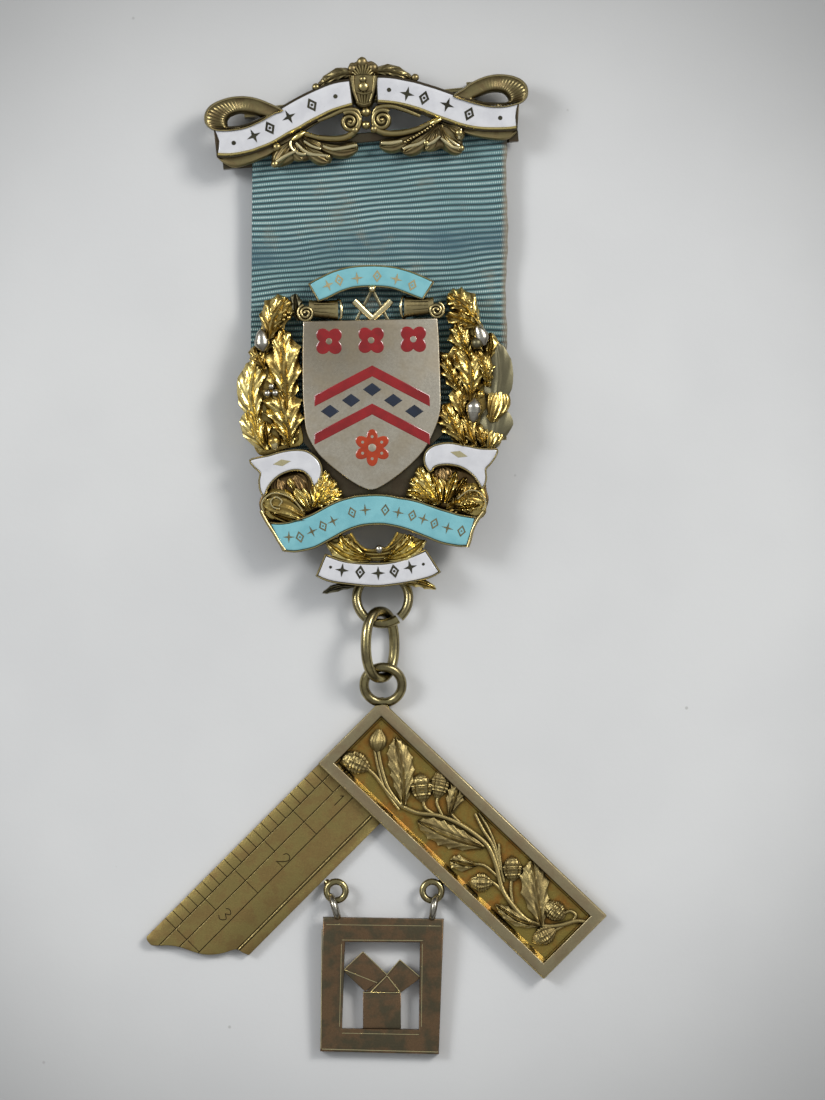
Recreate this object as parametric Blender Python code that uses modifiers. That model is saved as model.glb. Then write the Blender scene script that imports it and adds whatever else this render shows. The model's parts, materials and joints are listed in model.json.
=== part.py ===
"""A masonic breast jewel, lying on its back: a scroll bar brooch, a ribbon, a wreathed shield with
enamelled scrolls, three rings, a square with one framed arm and a pierced plaque.

Lengths are millimetres until a piece is finished, when MM turns them into metres. X runs to the
right, Y up the jewel and Z towards the viewer, with the surface that it lies on at Z = 0.

Shapes are drawn on squared paper, x to the right and y down, eight squares to a millimetre at the
jewel's own size. Each assembly has a grid of its own, tied to the assembly's width and to the
point of it that joins its neighbour.
"""

from math import atan2, cos, hypot, pi, radians, sin

import bmesh
import bpy
from mathutils import Matrix, Vector

MM = 0.001
CLEARANCE = 0.3
ENAMEL_GAP = 0.15
WIRE_GAP = 0.12
SOLDER = 0.1

# Ribbon
RIBBON_WIDTH = 32.0
RIBBON_LENGTH = 35.25
RIBBON_SHIFT = 1.6
RIBBON_FOOT_WIDTH = 29.0
RIBBON_THICKNESS = 1.0
RIBBON_TAIL = 10.0
RIBBON_SAG = 0.45
RIBBON_NARROWS_FROM = 0.7
RIBBON_SPANS = 12
RIBBON_COLUMNS = 6
RIBBON_FOOT_TILT = radians(0.5)
RIBBON_LIFT = 0.1
STRIP_THICKNESS = 0.4
STRIP_WIDTH = 2.0
STRIP_DROP = 0.76

# Bar brooch
BAR_WIDTH = 40.6
BAR_DRIFT = 1.4
BAR_TILT = radians(5.5)
BAR_THICKNESS = 1.6
BAR_CELL_DEPTH = 0.8
BAR_RELIEF = 0.7
BACK_PLATE_MARGIN = 2.1
BAR_LUG_WIDTH = 1.2
BACK_PLATE_LOW = 0.9
BACK_PLATE_HIGH = 2.1
BACK_PLATE_THICKNESS = 0.5
PIN_DIAMETER = 0.9
PIN_SPAN = 28.0
PIN_HEIGHT = 6.3
POST_WIDTH = 1.7

# Emblem
EMBLEM_WIDTH = 33.4
EMBLEM_PLATE = 0.8
EMBLEM_SCROLL_THICKNESS = 2.0
EMBLEM_CELL_DEPTH = 0.8
EMBLEM_RELIEF = 1.5
EMBLEM_LUG_WIDTH = 1.2
SHIELD_THICKNESS = 1.2
SHIELD_GAP = 0.2
SHIELD_CELL_DEPTH = 0.5
STAPLE_WIRE = 0.8

# Rings
EMBLEM_RING_DIAMETER = 7.7
RING_WIRE = 1.15
EMBLEM_RING_LEAN = radians(-9)
EMBLEM_RING_SETBACK = 0.9
LINK_LENGTH = 9.65
LINK_WIDTH = 6.8
LINK_WIRE = 1.3
LINK_LEAN = radians(50)
LINK_PASS = 1.6
APEX_RING_DIAMETER = 5.95
APEX_RING_LEAN = radians(20)

# Square
ARM_LENGTH = 39.0
ARM_WIDTH = 11.1
ARM_THICKNESS = 2.1
ARM_RIM = 1.4
ARM_FLOOR = 1.1
ARM_ANGLE = radians(-43.6)
ARM_RELIEF = 0.8
BLADE_LENGTH = 30.4
BLADE_THICKNESS = 1.1
BLADE_ANGLE = radians(225)
SQUARE_LOOP_DIAMETER = 3.1
SQUARE_LOOP_WIRE = 0.7
SQUARE_LOOP_HEIGHT = 1.6

# Plaque
PLAQUE_WIDTH = 15.1
PLAQUE_THICKNESS = 1.5
PLAQUE_LOOP_DIAMETER = 3.6
PLAQUE_LOOP_WIRE = 0.7

# Heights that follow
TAIL_TOP = RIBBON_LIFT + RIBBON_THICKNESS
STRIP_BOTTOM = TAIL_TOP + ENAMEL_GAP
STRIP_TOP = STRIP_BOTTOM + STRIP_THICKNESS
STRIP_MIDDLE = (STRIP_BOTTOM + STRIP_TOP) / 2
FOLD_RADIUS = STRIP_THICKNESS / 2 + ENAMEL_GAP + RIBBON_THICKNESS / 2
CLOTH_TOP = STRIP_MIDDLE + FOLD_RADIUS + RIBBON_THICKNESS / 2
METAL_BACK = CLOTH_TOP + CLEARANCE
BAR_FACE = METAL_BACK + BAR_THICKNESS
EMBLEM_FACE = METAL_BACK + EMBLEM_SCROLL_THICKNESS
EMBLEM_GROUND = METAL_BACK + EMBLEM_PLATE
SHIELD_BOTTOM = EMBLEM_GROUND + SHIELD_GAP

SMOOTH_STEPS = 2
WIRE_SIDES_LOOP = 1
RING_STEPS = 28
CAP_WELD = 1e-4
# The exact solver leaves open edges where many sloping faces of the castings meet.
SOLVER = "MANIFOLD"

COLLECTION = "masonic_jewel"


def clear_scene():
    for thing in list(bpy.data.objects):
        bpy.data.objects.remove(thing)


# Drawing grids


class Grid:
    """Turns squares of the drawing into millimetres, about an anchor square."""

    def __init__(self, anchor, place, width, squares):
        self.anchor = anchor
        self.place = place
        self.square = width / squares

    def at(self, x, y):
        return (
            self.place[0] + (x - self.anchor[0]) * self.square,
            self.place[1] + (self.anchor[1] - y) * self.square,
        )

    def all(self, points):
        return [self.at(x, y) for x, y in points]


def turned(place, angle, along, across):
    """The point that lies along and across a direction, from a place."""
    return (
        place[0] + along * cos(angle) - across * sin(angle),
        place[1] + along * sin(angle) + across * cos(angle),
    )


def smooth(points, steps=SMOOTH_STEPS, closed=False):
    """A round curve through the points, with a few steps from each to the next."""
    count = len(points)
    result = []
    spans = count if closed else count - 1
    for i in range(spans):
        near = [points[(i + k) % count] if closed else points[min(max(i + k, 0), count - 1)]
                for k in (-1, 0, 1, 2)]
        for step in range(steps):
            t = step / steps
            weights = (
                (-t + 2 * t**2 - t**3) / 2,
                (2 - 5 * t**2 + 3 * t**3) / 2,
                (t + 4 * t**2 - 3 * t**3) / 2,
                (-(t**2) + t**3) / 2,
            )
            result.append(tuple(
                sum(w * p[k] for w, p in zip(weights, near)) for k in range(len(points[0]))
            ))
    if not closed:
        result.append(points[-1])
    return result


# Solids


def link_object(name, mesh):
    made = bpy.data.objects.new(name, mesh)
    bpy.context.scene.collection.objects.link(made)
    return made


def frozen(thing, weld=0):
    """Replaces an object by the mesh that it evaluates to, with a curve's loose caps welded."""
    bpy.context.view_layer.update()
    graph = bpy.context.evaluated_depsgraph_get()
    mesh = bpy.data.meshes.new_from_object(thing.evaluated_get(graph))
    mesh.transform(thing.matrix_world)
    form = bmesh.new()
    form.from_mesh(mesh)
    if weld:
        bmesh.ops.remove_doubles(form, verts=form.verts, dist=weld)
        bmesh.ops.recalc_face_normals(form, faces=form.faces)
    form.to_mesh(mesh)
    form.free()
    name = thing.name
    bpy.data.objects.remove(thing)
    return link_object(name, mesh)


def slab(outline, bottom, top, holes=()):
    """A flat piece with an outline and holes, between two heights."""
    data = bpy.data.curves.new("slab", "CURVE")
    data.dimensions = "2D"
    data.fill_mode = "BOTH"
    data.extrude = (top - bottom) / 2
    for loop in (outline, *holes):
        spline = data.splines.new("POLY")
        spline.points.add(len(loop) - 1)
        for point, (x, y) in zip(spline.points, loop):
            point.co = (x, y, 0, 1)
        spline.use_cyclic_u = True
    piece = bpy.data.objects.new("slab", data)
    bpy.context.scene.collection.objects.link(piece)
    piece.location.z = (top + bottom) / 2
    return frozen(piece, weld=CAP_WELD)


def wire(points, radius, closed=False, sides=2):
    """A round wire along points; sides counts the bevel steps of a quarter turn."""
    data = bpy.data.curves.new("wire", "CURVE")
    data.dimensions = "3D"
    data.bevel_depth = radius
    data.bevel_resolution = sides
    data.use_fill_caps = not closed
    spline = data.splines.new("POLY")
    spline.points.add(len(points) - 1)
    for point, place in zip(spline.points, points):
        point.co = (*place, 1)
    spline.use_cyclic_u = closed
    piece = bpy.data.objects.new("wire", data)
    bpy.context.scene.collection.objects.link(piece)
    return frozen(piece, weld=CAP_WELD)


def ring(centre, diameter, wire_width, lean=0.0, heading=0.0, upright=False, sides=2, steps=RING_STEPS):
    """A round ring. It lies flat and leans about X, or stands upright along a heading."""
    radius = (diameter - wire_width) / 2
    points = []
    for i in range(steps):
        turn = 2 * pi * i / steps
        if upright:
            flat = radius * cos(turn)
            points.append((
                centre[0] + flat * cos(heading),
                centre[1] + flat * sin(heading),
                centre[2] + radius * sin(turn),
            ))
        else:
            up = radius * sin(turn)
            points.append((
                centre[0] + radius * cos(turn),
                centre[1] + up * cos(lean),
                centre[2] + up * sin(lean),
            ))
    return wire(points, wire_width / 2, closed=True, sides=sides)


def loft(sections):
    """A closed skin over sections with equal counts of corners."""
    form = bmesh.new()
    rows = [[form.verts.new(corner) for corner in section] for section in sections]
    count = len(sections[0])
    for near, far in zip(rows, rows[1:]):
        for k in range(count):
            form.faces.new((near[k], near[(k + 1) % count], far[(k + 1) % count], far[k]))
    form.faces.new(rows[0])
    form.faces.new(reversed(rows[-1]))
    bmesh.ops.recalc_face_normals(form, faces=form.faces)
    mesh = bpy.data.meshes.new("loft")
    form.to_mesh(mesh)
    form.free()
    return link_object("loft", mesh)


def leaf(path, width, bottom, edge, crest, lobes=0, spans=5):
    """A leaf from base to tip along a path, with a raised rib and, if asked, lobed sides."""
    spine = smooth(path, steps=4)
    count = 2 * lobes + 1 if lobes else spans
    sections = []
    for i in range(count + 1):
        share = i / count
        place = spine[round(share * (len(spine) - 1))]
        before = spine[max(round(share * (len(spine) - 1)) - 1, 0)]
        after = spine[min(round(share * (len(spine) - 1)) + 1, len(spine) - 1)]
        angle = atan2(after[1] - before[1], after[0] - before[0])
        half = width / 2 * max(sin(pi * (0.08 + 0.86 * share)) ** 0.7, 0.2)
        if lobes and i % 2 == 0 and 0 < i < count:
            half *= 0.62
        left = turned(place, angle, 0, half)
        right = turned(place, angle, 0, -half)
        height = edge + (crest - edge) * sin(pi * (0.12 + 0.76 * share))
        sections.append((
            (*left, bottom),
            (*left, edge),
            (*place, height),
            (*right, edge),
            (*right, bottom),
        ))
    return loft(sections)


def ball(centre, radius, tall=1.0, segments=8, rings=5):
    form = bmesh.new()
    bmesh.ops.create_uvsphere(form, u_segments=segments, v_segments=rings, radius=radius)
    mesh = bpy.data.meshes.new("ball")
    form.to_mesh(mesh)
    form.free()
    mesh.transform(Matrix.Diagonal((1, 1, tall, 1)))
    mesh.transform(Matrix.Translation(Vector(centre)))
    return link_object("ball", mesh)


def acorn(base, tip, width, height):
    """A cup and a nut that lie along base to tip, as turned sections."""
    angle = atan2(tip[1] - base[1], tip[0] - base[0])
    length = hypot(tip[0] - base[0], tip[1] - base[1])
    profile = ((0.0, 0.45), (0.16, 0.95), (0.4, 1.0), (0.42, 0.8), (0.75, 0.66), (1.0, 0.14))
    sections = []
    for share, wide in profile:
        place = turned(base, angle, share * length, 0)
        section = []
        for k in range(8):
            turn = 2 * pi * (k + 0.5) / 8
            side = turned(place, angle, 0, width / 2 * wide * cos(turn))
            section.append((*side, height + width / 2 * wide * sin(turn)))
        sections.append(section)
    return loft(sections)


def united(name, pieces):
    """One solid of overlapping pieces."""
    base = pieces[0]
    base.name = name
    for piece in pieces[1:]:
        joint = base.modifiers.new("union", "BOOLEAN")
        joint.operation = "UNION"
        joint.solver = SOLVER
        joint.object = piece
        base = frozen(base)
        bpy.data.objects.remove(piece)
    return base


def cut(base, cutter):
    opening = base.modifiers.new("cut", "BOOLEAN")
    opening.operation = "DIFFERENCE"
    opening.solver = SOLVER
    opening.object = cutter
    base = frozen(base)
    bpy.data.objects.remove(cutter)
    return base


def shrunk(outline, gap):
    """The outline moved inwards by a gap."""
    count = len(outline)
    area = sum(
        outline[i][0] * outline[(i + 1) % count][1] - outline[(i + 1) % count][0] * outline[i][1]
        for i in range(count)
    )
    turn = 1 if area > 0 else -1
    result = []
    for i, place in enumerate(outline):
        before = outline[i - 1]
        after = outline[(i + 1) % count]
        first = Vector((place[0] - before[0], place[1] - before[1])).normalized()
        second = Vector((after[0] - place[0], after[1] - place[1])).normalized()
        inward = Vector((-first.y - second.y, first.x + second.x))
        if inward.length < 1e-6:
            inward = Vector((-first.y, first.x))
        inward.normalize()
        reach = min(1 / max(abs(inward.dot(Vector((-first.y, first.x)))), 0.5), 2)
        result.append((
            place[0] + inward.x * gap * reach * turn,
            place[1] + inward.y * gap * reach * turn,
        ))
    return result


def enamelled(body, outline, face, depth, rise=0.05):
    """Cuts a cell into a body, and gives the body and the enamel that fills the cell."""
    cell = slab(outline, face - depth, face + CLEARANCE)
    body = cut(body, cell)
    fill = slab(shrunk(outline, ENAMEL_GAP), face - depth + ENAMEL_GAP, face + rise)
    return body, fill


MATERIALS = {
    "gilt": ((0.42, 0.31, 0.10), 0.35, 1.0),
    "gilt_dark": ((0.24, 0.17, 0.07), 0.45, 1.0),
    "silver": ((0.55, 0.47, 0.36), 0.4, 1.0),
    "white_enamel": ((0.8, 0.8, 0.84), 0.15, 0.0),
    "blue_enamel": ((0.13, 0.55, 0.68), 0.15, 0.0),
    "red_enamel": ((0.33, 0.02, 0.02), 0.15, 0.0),
    "dark_enamel": ((0.01, 0.015, 0.04), 0.15, 0.0),
    "ribbon": ((0.22, 0.4, 0.46), 0.9, 0.0),
}


def material(kind):
    found = bpy.data.materials.get(kind)
    if found:
        return found
    colour, roughness, metallic = MATERIALS[kind]
    found = bpy.data.materials.new(kind)
    found.use_nodes = True
    shader = found.node_tree.nodes["Principled BSDF"]
    shader.inputs["Base Color"].default_value = (*colour, 1)
    shader.inputs["Roughness"].default_value = roughness
    shader.inputs["Metallic"].default_value = metallic
    return found


def finish(thing, name, kind):
    """Names a piece, turns it into metres, gives it its material and files it with the jewel."""
    thing.data.transform(Matrix.Scale(MM, 4))
    thing.name = name
    thing.data.name = name
    thing.data.materials.clear()
    thing.data.materials.append(material(kind))
    bpy.context.scene.collection.objects.unlink(thing)
    bpy.data.collections[COLLECTION].objects.link(thing)


# Places that follow, from the ring under the emblem outwards

EMBLEM_FOOT_SQUARE = (380.5, 590.0)
EMBLEM_FOOT = (0.35, -4.2)
EMBLEM = Grid(EMBLEM_FOOT_SQUARE, EMBLEM_FOOT, EMBLEM_WIDTH, 267)
RING_DROP = (EMBLEM_RING_DIAMETER - RING_WIRE) / 2
EMBLEM_RING_CENTRE = (
    EMBLEM_FOOT[0] + 0.35,
    EMBLEM_FOOT[1] + 2.3 - RING_DROP,
    METAL_BACK - EMBLEM_RING_SETBACK,
)
LINK_HALF = (LINK_LENGTH - LINK_WIRE) / 2
LINK_ROUND = (LINK_WIDTH - LINK_WIRE) / 2
LINK_CENTRE = (
    EMBLEM_RING_CENTRE[0] - 0.3,
    EMBLEM_RING_CENTRE[1] - RING_DROP + LINK_PASS - LINK_HALF,
    LINK_WIRE / 2 + LINK_ROUND * sin(LINK_LEAN),
)
APEX_RADIUS = (APEX_RING_DIAMETER - RING_WIRE) / 2
APEX_RING_CENTRE = (
    LINK_CENTRE[0] + 0.35,
    LINK_CENTRE[1] - LINK_HALF + LINK_PASS - APEX_RADIUS,
    ARM_FLOOR + APEX_RADIUS * sin(APEX_RING_LEAN),
)
APEX = (
    APEX_RING_CENTRE[0] - 0.25,
    APEX_RING_CENTRE[1] - APEX_RADIUS * cos(APEX_RING_LEAN) + SOLDER,
)
RIBBON_FOOT = EMBLEM.at(379, 432)
BAR_MIDDLE = (RIBBON_FOOT[0] - BAR_DRIFT, RIBBON_FOOT[1] + RIBBON_LENGTH)
BAR = Grid((367, 150), BAR_MIDDLE, BAR_WIDTH, 325)


# Bar brooch

LEFT_FIELD_TOP = [(217, 131), (240, 129), (260, 122), (290, 105), (320, 90), (348, 83)]
LEFT_FIELD_FOOT = [(351, 104), (330, 112), (300, 128), (275, 142), (250, 152), (220, 155)]
RIGHT_FIELD_TOP = [(378, 79), (405, 82), (435, 90), (465, 100.5), (490, 106), (517, 103)]
RIGHT_FIELD_FOOT = [(515, 128), (490, 129.5), (465, 126), (430, 114), (405, 105), (379, 102)]
LEFT_BAND_TOP = [(212, 128), (240, 125.5), (270, 113), (300, 96), (325, 84), (350, 78)]
LEFT_BAND_FOOT = [(356, 109), (330, 117), (300, 138), (270, 157), (243, 168), (217, 158)]
RIGHT_BAND_TOP = [(374, 75), (405, 78), (435, 86), (465, 97), (490, 102), (521, 100)]
RIGHT_BAND_FOOT = [(521, 131), (505, 140), (482, 138), (455, 128), (420, 115), (370, 108)]
LEFT_CURL = [(282, 109), (262, 100), (240, 97), (218, 102), (205, 114), (207, 127), (222, 132),
             (250, 124)]
LEFT_CURL_HOLE = [(228, 127), (231, 118), (246, 114.5), (262, 119), (246, 125)]
RIGHT_CURL = [(452, 96), (468, 85), (493, 76), (516, 78), (528, 90), (522, 104), (500, 108),
              (476, 106)]
RIGHT_CURL_HOLE = [(476, 100), (490, 94), (506, 97), (506, 104), (490, 105)]
CLASP = [(348, 76), (379, 74), (377, 92), (372, 108), (366, 120), (357, 108), (351, 92)]
PALMETTE = [(346, 80), (344, 69), (351, 61), (362, 57), (373, 61), (380, 69), (379, 80)]
PALMETTE_BALLS = [(362, 64, 5.5), (352, 70, 5.5), (373, 70, 5.5)]
BAR_BALLS = [(316, 88, 4), (415, 78, 4), (276, 150, 5), (458, 133, 6)]
CLASP_BOSSES = [(363, 86, 8), (364, 99, 6), (366, 114, 4.5)]
BAR_VOLUTES = [(350, 123, 10), (383, 121, 9.5)]
LEFT_SCROLL = [(300, 136), (318, 140), (338, 141), (352, 134)]
RIGHT_SCROLL = [(380, 130), (396, 135), (416, 132), (438, 121)]
# Each leaf: its path from base to tip, and its width
BAR_LEAVES = [
    ([(352, 75), (335, 76), (317, 89)], 9),
    ([(374, 70), (392, 70), (413, 79)], 9),
    ([(306, 134), (290, 152), (277, 168)], 15),
    ([(306, 134), (303, 150), (300, 164)], 14),
    ([(308, 136), (320, 150), (333, 163)], 15),
    ([(322, 138), (340, 149), (361, 152)], 10),
    ([(436, 121), (420, 137), (405, 151)], 15),
    ([(437, 120), (430, 136), (427, 148)], 13),
    ([(438, 120), (450, 138), (461, 151)], 15),
    ([(424, 126), (404, 143), (382, 147)], 9),
]


def bar_point(along, up):
    return turned(BAR_MIDDLE, BAR_TILT, along, up)


def bar_rectangle(left, right, low, high):
    return [bar_point(left, low), bar_point(right, low), bar_point(right, high),
            bar_point(left, high)]


def make_bar():
    """The scroll in two fields, its curled ends, the clasp, the foliage and the ribbon loop."""
    crest = BAR_FACE + BAR_RELIEF
    rise = METAL_BACK + BAR_THICKNESS * 0.3
    edge = METAL_BACK + BAR_THICKNESS * 0.6
    half = RIBBON_WIDTH / 2 + BACK_PLATE_MARGIN
    inner = RIBBON_WIDTH / 2 + ENAMEL_GAP
    low = -STRIP_DROP
    high = STRIP_WIDTH - STRIP_DROP
    unit = BAR.square
    plate_top = METAL_BACK + BACK_PLATE_THICKNESS
    pieces = [
        slab(smooth(BAR.all(LEFT_BAND_TOP)) + smooth(BAR.all(LEFT_BAND_FOOT)),
             METAL_BACK + 0.1, BAR_FACE),
        slab(BAR.all(CLASP), METAL_BACK + 0.15, BAR_FACE + 0.3),
        slab(smooth(BAR.all(RIGHT_BAND_TOP)) + smooth(BAR.all(RIGHT_BAND_FOOT)),
             METAL_BACK + 0.1, BAR_FACE),
        slab(smooth(BAR.all(LEFT_CURL), closed=True), METAL_BACK + 0.2, BAR_FACE + 0.2,
             holes=[BAR.all(LEFT_CURL_HOLE)]),
        slab(smooth(BAR.all(RIGHT_CURL), closed=True), METAL_BACK + 0.2, BAR_FACE + 0.2,
             holes=[BAR.all(RIGHT_CURL_HOLE)]),
        slab(smooth(BAR.all(PALMETTE), closed=True), METAL_BACK + 0.25, BAR_FACE - 0.3),
    ]
    for x, y, size in PALMETTE_BALLS + BAR_BALLS + CLASP_BOSSES:
        pieces.append(ball((*BAR.at(x, y), BAR_FACE - 0.1), size * unit))
    for x, y, size in BAR_VOLUTES:
        disc = [turned(BAR.at(x, y), 2 * pi * k / 12, size * unit, 0) for k in range(12)]
        pieces.append(slab(disc, METAL_BACK + 0.18, BAR_FACE - 0.1))
    for route in (LEFT_SCROLL, RIGHT_SCROLL):
        line = [(*BAR.at(x, y), (rise + BAR_FACE) / 2) for x, y in smooth(route)]
        pieces.append(wire(line, 3.5 * unit))
    for i, (path, width) in enumerate(BAR_LEAVES):
        pieces.append(leaf(BAR.all(path), width * unit, rise + 0.02 * i, edge, crest - 0.4))
    back_plate = bar_rectangle(-half, half, BACK_PLATE_LOW, BACK_PLATE_HIGH)
    pieces.append(slab(back_plate, METAL_BACK, plate_top))
    loop_end = RIBBON_SHIFT + inner + BAR_LUG_WIDTH
    for start, stop in ((-half, -inner), (RIBBON_SHIFT + inner, loop_end)):
        lug = bar_rectangle(start, stop, low, high)
        pieces.append(slab(lug, STRIP_BOTTOM, plate_top - 0.1))
    for side in (-1, 1):
        post = side * PIN_SPAN / 2
        pieces.append(slab(
            bar_rectangle(post - POST_WIDTH / 2, post + POST_WIDTH / 2,
                          PIN_HEIGHT - POST_WIDTH / 2, PIN_HEIGHT + POST_WIDTH / 2),
            RIBBON_LIFT, METAL_BACK + 0.6))
    strip = bar_rectangle(-half + 0.1, loop_end - 0.1, low + 0.02, high - 0.02)
    pieces.append(slab(strip, STRIP_BOTTOM + 0.02, STRIP_TOP))
    bar = united("top_bar", pieces)
    reach = PIN_SPAN / 2 + POST_WIDTH
    hole = [(*bar_point(end, PIN_HEIGHT), RIBBON_LIFT + POST_WIDTH / 2) for end in (-reach, reach)]
    bar = cut(bar, wire(hole, PIN_DIAMETER / 2 + ENAMEL_GAP))
    for name, top, foot in (("left", LEFT_FIELD_TOP, LEFT_FIELD_FOOT),
                            ("right", RIGHT_FIELD_TOP, RIGHT_FIELD_FOOT)):
        outline = smooth(BAR.all(top)) + smooth(BAR.all(foot))
        bar, fill = enamelled(bar, outline, BAR_FACE, BAR_CELL_DEPTH)
        finish(fill, f"bar_enamel_{name}", "white_enamel")
    finish(bar, "top_bar", "gilt")


def make_pin():
    """A plain pin behind the bar, through its two posts."""
    reach = PIN_SPAN / 2 + POST_WIDTH / 2 + CLEARANCE
    height = RIBBON_LIFT + POST_WIDTH / 2
    line = [(*bar_point(end, PIN_HEIGHT), height) for end in (-reach, 0, reach)]
    finish(wire(line, PIN_DIAMETER / 2), "brooch_pin", "gilt_dark")


# Ribbon


def ribbon_rungs():
    """The rungs of the ribbon from its upper tail to its lower tail: a line down the jewel, as the
    run along it and the height of the cloth's middle."""
    length = bar_point(RIBBON_SHIFT, 0)[1] - RIBBON_FOOT[1]
    upper = STRIP_DROP - STRIP_WIDTH
    lower = length + STRIP_WIDTH / 2
    tail = STRIP_MIDDLE - FOLD_RADIUS
    front = STRIP_MIDDLE + FOLD_RADIUS
    fold = [pi * k / 6 for k in range(7)]
    rungs = [(upper + RIBBON_TAIL, tail), (upper + RIBBON_TAIL / 2, tail)]
    rungs += [(upper - FOLD_RADIUS * sin(turn), STRIP_MIDDLE - FOLD_RADIUS * cos(turn))
              for turn in fold]
    for k in range(1, RIBBON_SPANS):
        share = k / RIBBON_SPANS
        sag = RIBBON_SAG * sin(pi * share) ** 2
        rungs.append((upper + (lower - upper) * share, front - sag))
    rungs += [(lower + FOLD_RADIUS * sin(turn), STRIP_MIDDLE + FOLD_RADIUS * cos(turn))
              for turn in fold]
    rungs += [(lower - RIBBON_TAIL / 2, tail), (lower - RIBBON_TAIL, tail)]
    return rungs, length


def make_ribbon():
    """A strip of cloth folded round the bar's loop above and the emblem's loop below."""
    rungs, length = ribbon_rungs()
    head = bar_point(RIBBON_SHIFT, 0)
    form = bmesh.new()
    rows = []
    for run, height in rungs:
        share = min(max(run / length, 0), 1)
        narrow = max((share - RIBBON_NARROWS_FROM) / (1 - RIBBON_NARROWS_FROM), 0) ** 0.8
        half = (RIBBON_WIDTH + (RIBBON_FOOT_WIDTH - RIBBON_WIDTH) * narrow) / 2
        tilt = BAR_TILT + (RIBBON_FOOT_TILT - BAR_TILT) * share
        middle = (
            head[0] + (RIBBON_FOOT[0] - head[0]) * share,
            head[1] + (RIBBON_FOOT[1] - head[1]) * share,
        )
        beyond = share * length - run
        row = []
        for k in range(RIBBON_COLUMNS + 1):
            side = half * (2 * k / RIBBON_COLUMNS - 1)
            x, y = turned(middle, tilt, side, beyond)
            row.append(form.verts.new((x, y, height)))
        rows.append(row)
    for near, far in zip(rows, rows[1:]):
        for k in range(RIBBON_COLUMNS):
            form.faces.new((near[k], near[k + 1], far[k + 1], far[k]))
    mesh = bpy.data.meshes.new("ribbon")
    form.to_mesh(mesh)
    form.free()
    sheet = link_object("ribbon", mesh)
    shell = sheet.modifiers.new("cloth", "SOLIDIFY")
    shell.thickness = RIBBON_THICKNESS
    shell.offset = 0
    shell.use_even_offset = True
    finish(frozen(sheet), "ribbon", "ribbon")


# Emblem

LEFT_WREATH = [(297, 293), (280, 300), (266, 311), (257, 335), (252, 355), (246, 372), (243, 392),
               (247, 414), (250, 440), (260, 456), (285, 450), (308, 445), (303, 418), (297, 395),
               (303, 375), (302, 355), (293, 340), (288, 325), (299, 312)]
RIGHT_WREATH = [(447, 293), (463, 295), (478, 311), (488, 330), (493, 344), (506, 356), (510, 376),
                (504, 402), (507, 424), (504, 446), (480, 450), (452, 442), (444, 425), (452, 410),
                (456, 392), (444, 370), (442, 353), (453, 335), (449, 312)]
FIELD = [(310, 325), (434, 322), (436, 348), (448, 354), (450, 372), (436, 380), (436, 410),
         (450, 424), (448, 436), (428, 450), (424, 500), (376, 500), (342, 506), (316, 480),
         (318, 462), (302, 446), (300, 420), (309, 410), (309, 388), (298, 384), (298, 356),
         (309, 348)]
# Each leaf: its path from base to tip, its width and its lobes
WREATH_LEAVES = [
    ([(298, 320), (283, 311), (268, 305)], 20, 2),
    ([(274, 354), (264, 342), (258, 330)], 15, 2),
    ([(297, 352), (284, 344), (272, 336)], 16, 2),
    ([(262, 420), (252, 390), (250, 357)], 16, 3),
    ([(288, 374), (275, 362), (263, 352)], 16, 2),
    ([(286, 410), (273, 392), (262, 374)], 16, 2),
    ([(288, 396), (292, 372), (300, 352)], 17, 3),
    ([(286, 449), (292, 430), (302, 411)], 28, 3),
    ([(273, 456), (258, 437), (250, 417)], 17, 3),
    ([(447, 304), (460, 302), (474, 301)], 16, 2),
    ([(450, 318), (464, 322), (480, 326)], 17, 2),
    ([(456, 338), (468, 342), (484, 345)], 15, 2),
    ([(492, 414), (500, 380), (494, 346)], 22, 0),
    ([(459, 392), (452, 370), (443, 354)], 17, 2),
    ([(479, 402), (481, 378), (474, 354)], 17, 3),
    ([(495, 449), (499, 430), (498, 410)], 17, 0),
    ([(466, 444), (456, 428), (446, 411)], 25, 3),
]
BERRIES = [(268, 394), (277, 394), (272, 386), (482, 340), (478, 331)]
# Each acorn: the middle of its cup's base, its tip and its width
WREATH_ACORNS = [
    ((260, 420), (270, 430), 10),
    ((271, 438), (281, 448), 10),
    ((473, 399), (473, 424), 15),
]
NUMBER_TOP = [(312, 285), (335, 273), (357, 268), (380, 267.5), (405, 271), (433, 283)]
NUMBER_FOOT = [(423, 299), (405, 292), (380, 286.5), (365, 286.5), (345, 290), (321, 301)]
SCROLL_ROLLS = [(306, 313, 9), (437, 309, 8)]
LEFT_ROLL = [(300, 306), (315, 299), (334, 299), (341, 309), (335, 320), (315, 322), (302, 321)]
RIGHT_ROLL = [(445, 303), (428, 297), (409, 298), (402, 308), (409, 318), (430, 319), (443, 317)]
COMPASS_LEGS = [[(373, 287), (357, 325)], [(373, 287), (389, 325)]]
SMALL_SQUARE = [[(355, 303), (375, 322)], [(391, 303), (371, 322)]]
SHIELD = [(304, 322), (438, 319), (440.5, 370), (441, 410), (434, 433), (418, 458), (398, 476),
          (373, 490), (350, 480), (326, 461), (309, 437), (304, 405), (303.5, 360)]
LEFT_CURL_WHITE = [(252, 461), (275, 455), (300, 451), (317, 459), (322, 472), (317, 484),
                   (312, 477), (298, 469.5), (280, 475), (266, 493), (261, 478)]
RIGHT_CURL_WHITE = [(497, 451), (475, 449), (450, 444), (431, 449), (426, 460), (431, 470),
                    (448, 464), (468, 470), (482, 486), (486, 472), (485, 465)]
LEFT_FOOT = [(262, 476), (266, 496), (261, 511), (274, 526), (310, 518), (348, 502), (346, 484),
             (320, 466), (300, 465), (275, 472)]
RIGHT_FOOT = [(485, 474), (487, 505), (478, 520), (440, 512), (402, 502), (400, 484), (430, 464),
              (455, 460), (475, 466)]
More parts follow.
